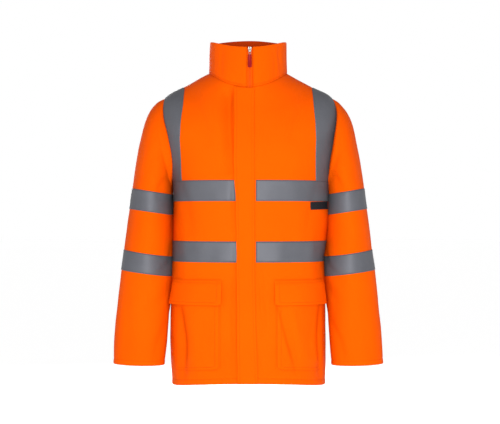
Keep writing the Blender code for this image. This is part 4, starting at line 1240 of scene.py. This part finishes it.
def sew(name, lines, thread):
    """One piece that holds all the stitches along some lines."""
    middles, alongs, outs = [], [], []
    for points, normals in lines:
        length = np.concatenate([[0.0], np.cumsum(np.linalg.norm(np.diff(points, axis=0), axis=1))])
        starts = np.arange(0.0, length[-1] - STITCH_LENGTH, STITCH_LENGTH + STITCH_GAP)

        def read(values, at):
            return np.stack([np.interp(at, length, values[:, axis]) for axis in range(3)], axis=-1)

        begin, end = read(points, starts), read(points, starts + STITCH_LENGTH)
        middles.append((read(points, starts + STITCH_LENGTH / 2) + (begin + end) / 2) / 2)
        alongs.append(unit(end - begin))
        outs.append(unit(read(normals, starts)))
    middle, along, out = (np.concatenate(part) for part in (middles, alongs, outs))
    out = unit(out - along * np.sum(out * along, axis=1, keepdims=True))
    across = np.cross(along, out)
    rows = [middle - along * STITCH_LENGTH / 2 - out * THREAD * 0.7]
    for at, girth, height in STITCH_RINGS:
        for side in range(STITCH_SIDES):
            turn = math.tau * side / STITCH_SIDES
            rows.append(middle + along * at * STITCH_LENGTH
                        + across * THREAD * girth * math.cos(turn)
                        + out * THREAD * (girth * math.sin(turn) + height))
    rows.append(middle + along * STITCH_LENGTH / 2 - out * THREAD * 0.7)
    points = np.stack(rows, axis=1)
    count, each = points.shape[:2]
    faces = []
    for side in range(STITCH_SIDES):
        here, there = 1 + side, 1 + (side + 1) % STITCH_SIDES
        faces.append((0, there, here, here))
        for ring in range(len(STITCH_RINGS) - 1):
            step = ring * STITCH_SIDES
            faces.append((here + step, there + step, there + step + STITCH_SIDES, here + step + STITCH_SIDES))
        step = (len(STITCH_RINGS) - 1) * STITCH_SIDES
        faces.append((here + step, there + step, each - 1, each - 1))
    faces = (np.array(faces)[None] + (np.arange(count) * each)[:, None, None]).reshape(-1, 4)
    mesh = bpy.data.meshes.new(name)
    mesh.from_pydata(points.reshape(-1, 3).tolist(), [],
                     [tuple(dict.fromkeys(face)) for face in faces.tolist()])
    placed(name, mesh, (thread,))


hem_place = HEM_DEPTH / (BODY_RINGS[1, 0] - BODY_RINGS[0, 0])
hem_lines = [seam_line(body_point, CLOTH / 2, hem_place, np.linspace(*span(hem_place), 240))
             for span in (left_front_span, right_front_span, back_span)]
sew("hem_stitching", hem_lines, orange_thread_painted_shade)

collar_lines = []
for place in (0.11, 0.19):
    angle = np.linspace(*collar_span(place), 300)
    collar_lines.append(seam_line(collar_point, COLLAR_WALL / 2, place, angle))
rise = np.linspace(0.06, COLLAR_TOP - 0.08, 60)
for x in (ZIP_X + ZIP_HALF + 0.0018, ZIP_X - ZIP_HALF - 0.0018):
    collar_lines.append(seam_line(collar_point, COLLAR_WALL / 2, rise, angle_of_x(COLLAR_RINGS, rise, x)))
shoulder = np.linspace(TIP + 0.2, NECK - 0.12, 40)
shoulder_lines = [seam_line(body_point, CLOTH / 2, shoulder, hand * (SIDE + 0.045)) for hand in (1, -1)]
sew("collar_stitching", collar_lines + shoulder_lines, orange_thread_painted_shade)

# The storm flap's two rows beside its sewn edge, and one along its free edge.
sewn_x, free_x = (np.interp(ring_point(BODY_RINGS, flap_places, 0.0)[:, 2], STORM_FLAP[:, 0], column)
                  for column in (STORM_FLAP[:, 2], STORM_FLAP[:, 1]))
flap_width = sewn_x - free_x
flap_shares = [1 - stitched / flap_width for stitched in FLAP_STITCHES] + [0.0060 / flap_width]
flap_lines = [seam_line(flap_point, FLAP_WALL / 2, flap_places, share) for share in flap_shares]
sew("flap_stitching", flap_lines, orange_thread_painted_shade)


def patch_lines(side, point, low, high, inner_x, outer_angle, corner, insets, wall, top_insets):
    """Stitch lines inside the edges of a patch: down one side, round the bottom and up the other."""
    paths = []
    for inset in insets:
        z = np.linspace(low + inset, high - 0.001, 70)
        place = place_of_z(z)
        drawn = (cut_corner(z - low - inset, max(corner - inset * 0.5, 0.001)) + inset) / ARC
        inner = angle_of_x(BODY_RINGS, place, inner_x) + drawn
        outer = outer_angle - drawn
        across = np.linspace(inner[0], outer[0], 90)[1:-1]
        paths.append((np.concatenate([place[::-1], np.full(across.shape, place[0]), place]),
                      np.concatenate([inner[::-1], across, outer])))
    for inset in top_insets:
        place = place_of_z(high - inset)
        inner = angle_of_x(BODY_RINGS, place, inner_x) + 0.0015 / ARC
        paths.append((np.full(90, place), np.linspace(inner, outer_angle - 0.0015 / ARC, 90)))
    hand = 1 if side == "left" else -1
    return [seam_line(point, wall / 2, side, place, hand * angle) for place, angle in paths]


for side in ("left", "right"):
    bag_lines = patch_lines(side, pocket_point, POCKET_BOTTOM_Z, POCKET_TOP_Z, POCKET_INNER_X,
                            POCKET_OUTER_ANGLE, POCKET_CORNER, POCKET_STITCHES, POCKET_WALL, ())
    cover_lines = patch_lines(side, pocket_flap_point, FLAP_BOTTOM_Z, FLAP_TOP_Z, FLAP_INNER_X,
                              FLAP_OUTER_ANGLE, FLAP_CORNER, (COVER_STITCH,), POCKET_FLAP_WALL,
                              (0.0016, COVER_STITCH))
    sew("pocket_stitching_" + side, bag_lines + cover_lines, orange_thread_painted_shade)

TAPE_STITCH_IN = 0.0022  # how far a tape's stitching lies inside its edges
tape_shares = (TAPE_STITCH_IN / TAPE_WIDTH, 1 - TAPE_STITCH_IN / TAPE_WIDTH)
on_tape = under_tape + TAPE / 2
tape_lines = []
for place, angles in BODY_TAPES:
    for share in tape_shares:
        row = place[0] + (place[-1] - place[0]) * share
        tape_lines.append(seam_line(body_point, on_tape, row, angles[len(place) // 2]))
below_shoulder = brace_places < TIP + 0.55
for angles in BRACES:
    for share in tape_shares:
        angle = angles[:, 0] + (angles[:, -1] - angles[:, 0]) * share
        tape_lines.append(seam_line(body_point, on_tape, brace_places[below_shoulder], angle[below_shoulder]))
sew("body_tape_stitching", tape_lines, grey_thread)

turn = np.linspace(0.0, 1.0, 260)
cuff_place = CUFF - CUFF_HEM / (SLEEVE_RINGS[-2, 1] - SLEEVE_RINGS[-1, 1])
for side in ("left", "right"):
    lines = [seam_line(sleeve_point, on_tape, side, top + (bottom - top) * share, turn)
             for _, top, bottom in SLEEVE_TAPES for share in tape_shares]
    sew("sleeve_tape_stitching_" + side, lines, grey_thread)
    cuff_line = seam_line(sleeve_point, CLOTH / 2, side, cuff_place, turn)
    sew("cuff_stitching_" + side, [cuff_line], orange_thread_painted_shade)

along_edge = np.linspace(0.02, 0.98, 30)
binding = [seam_line(label_point, LABEL_WALL / 2, along_edge, down) for down in (0.05, 0.95)]
binding += [seam_line(label_point, LABEL_WALL / 2, across, along_edge) for across in (0.03, 0.97)]
sew("label_binding", binding, black_thread)
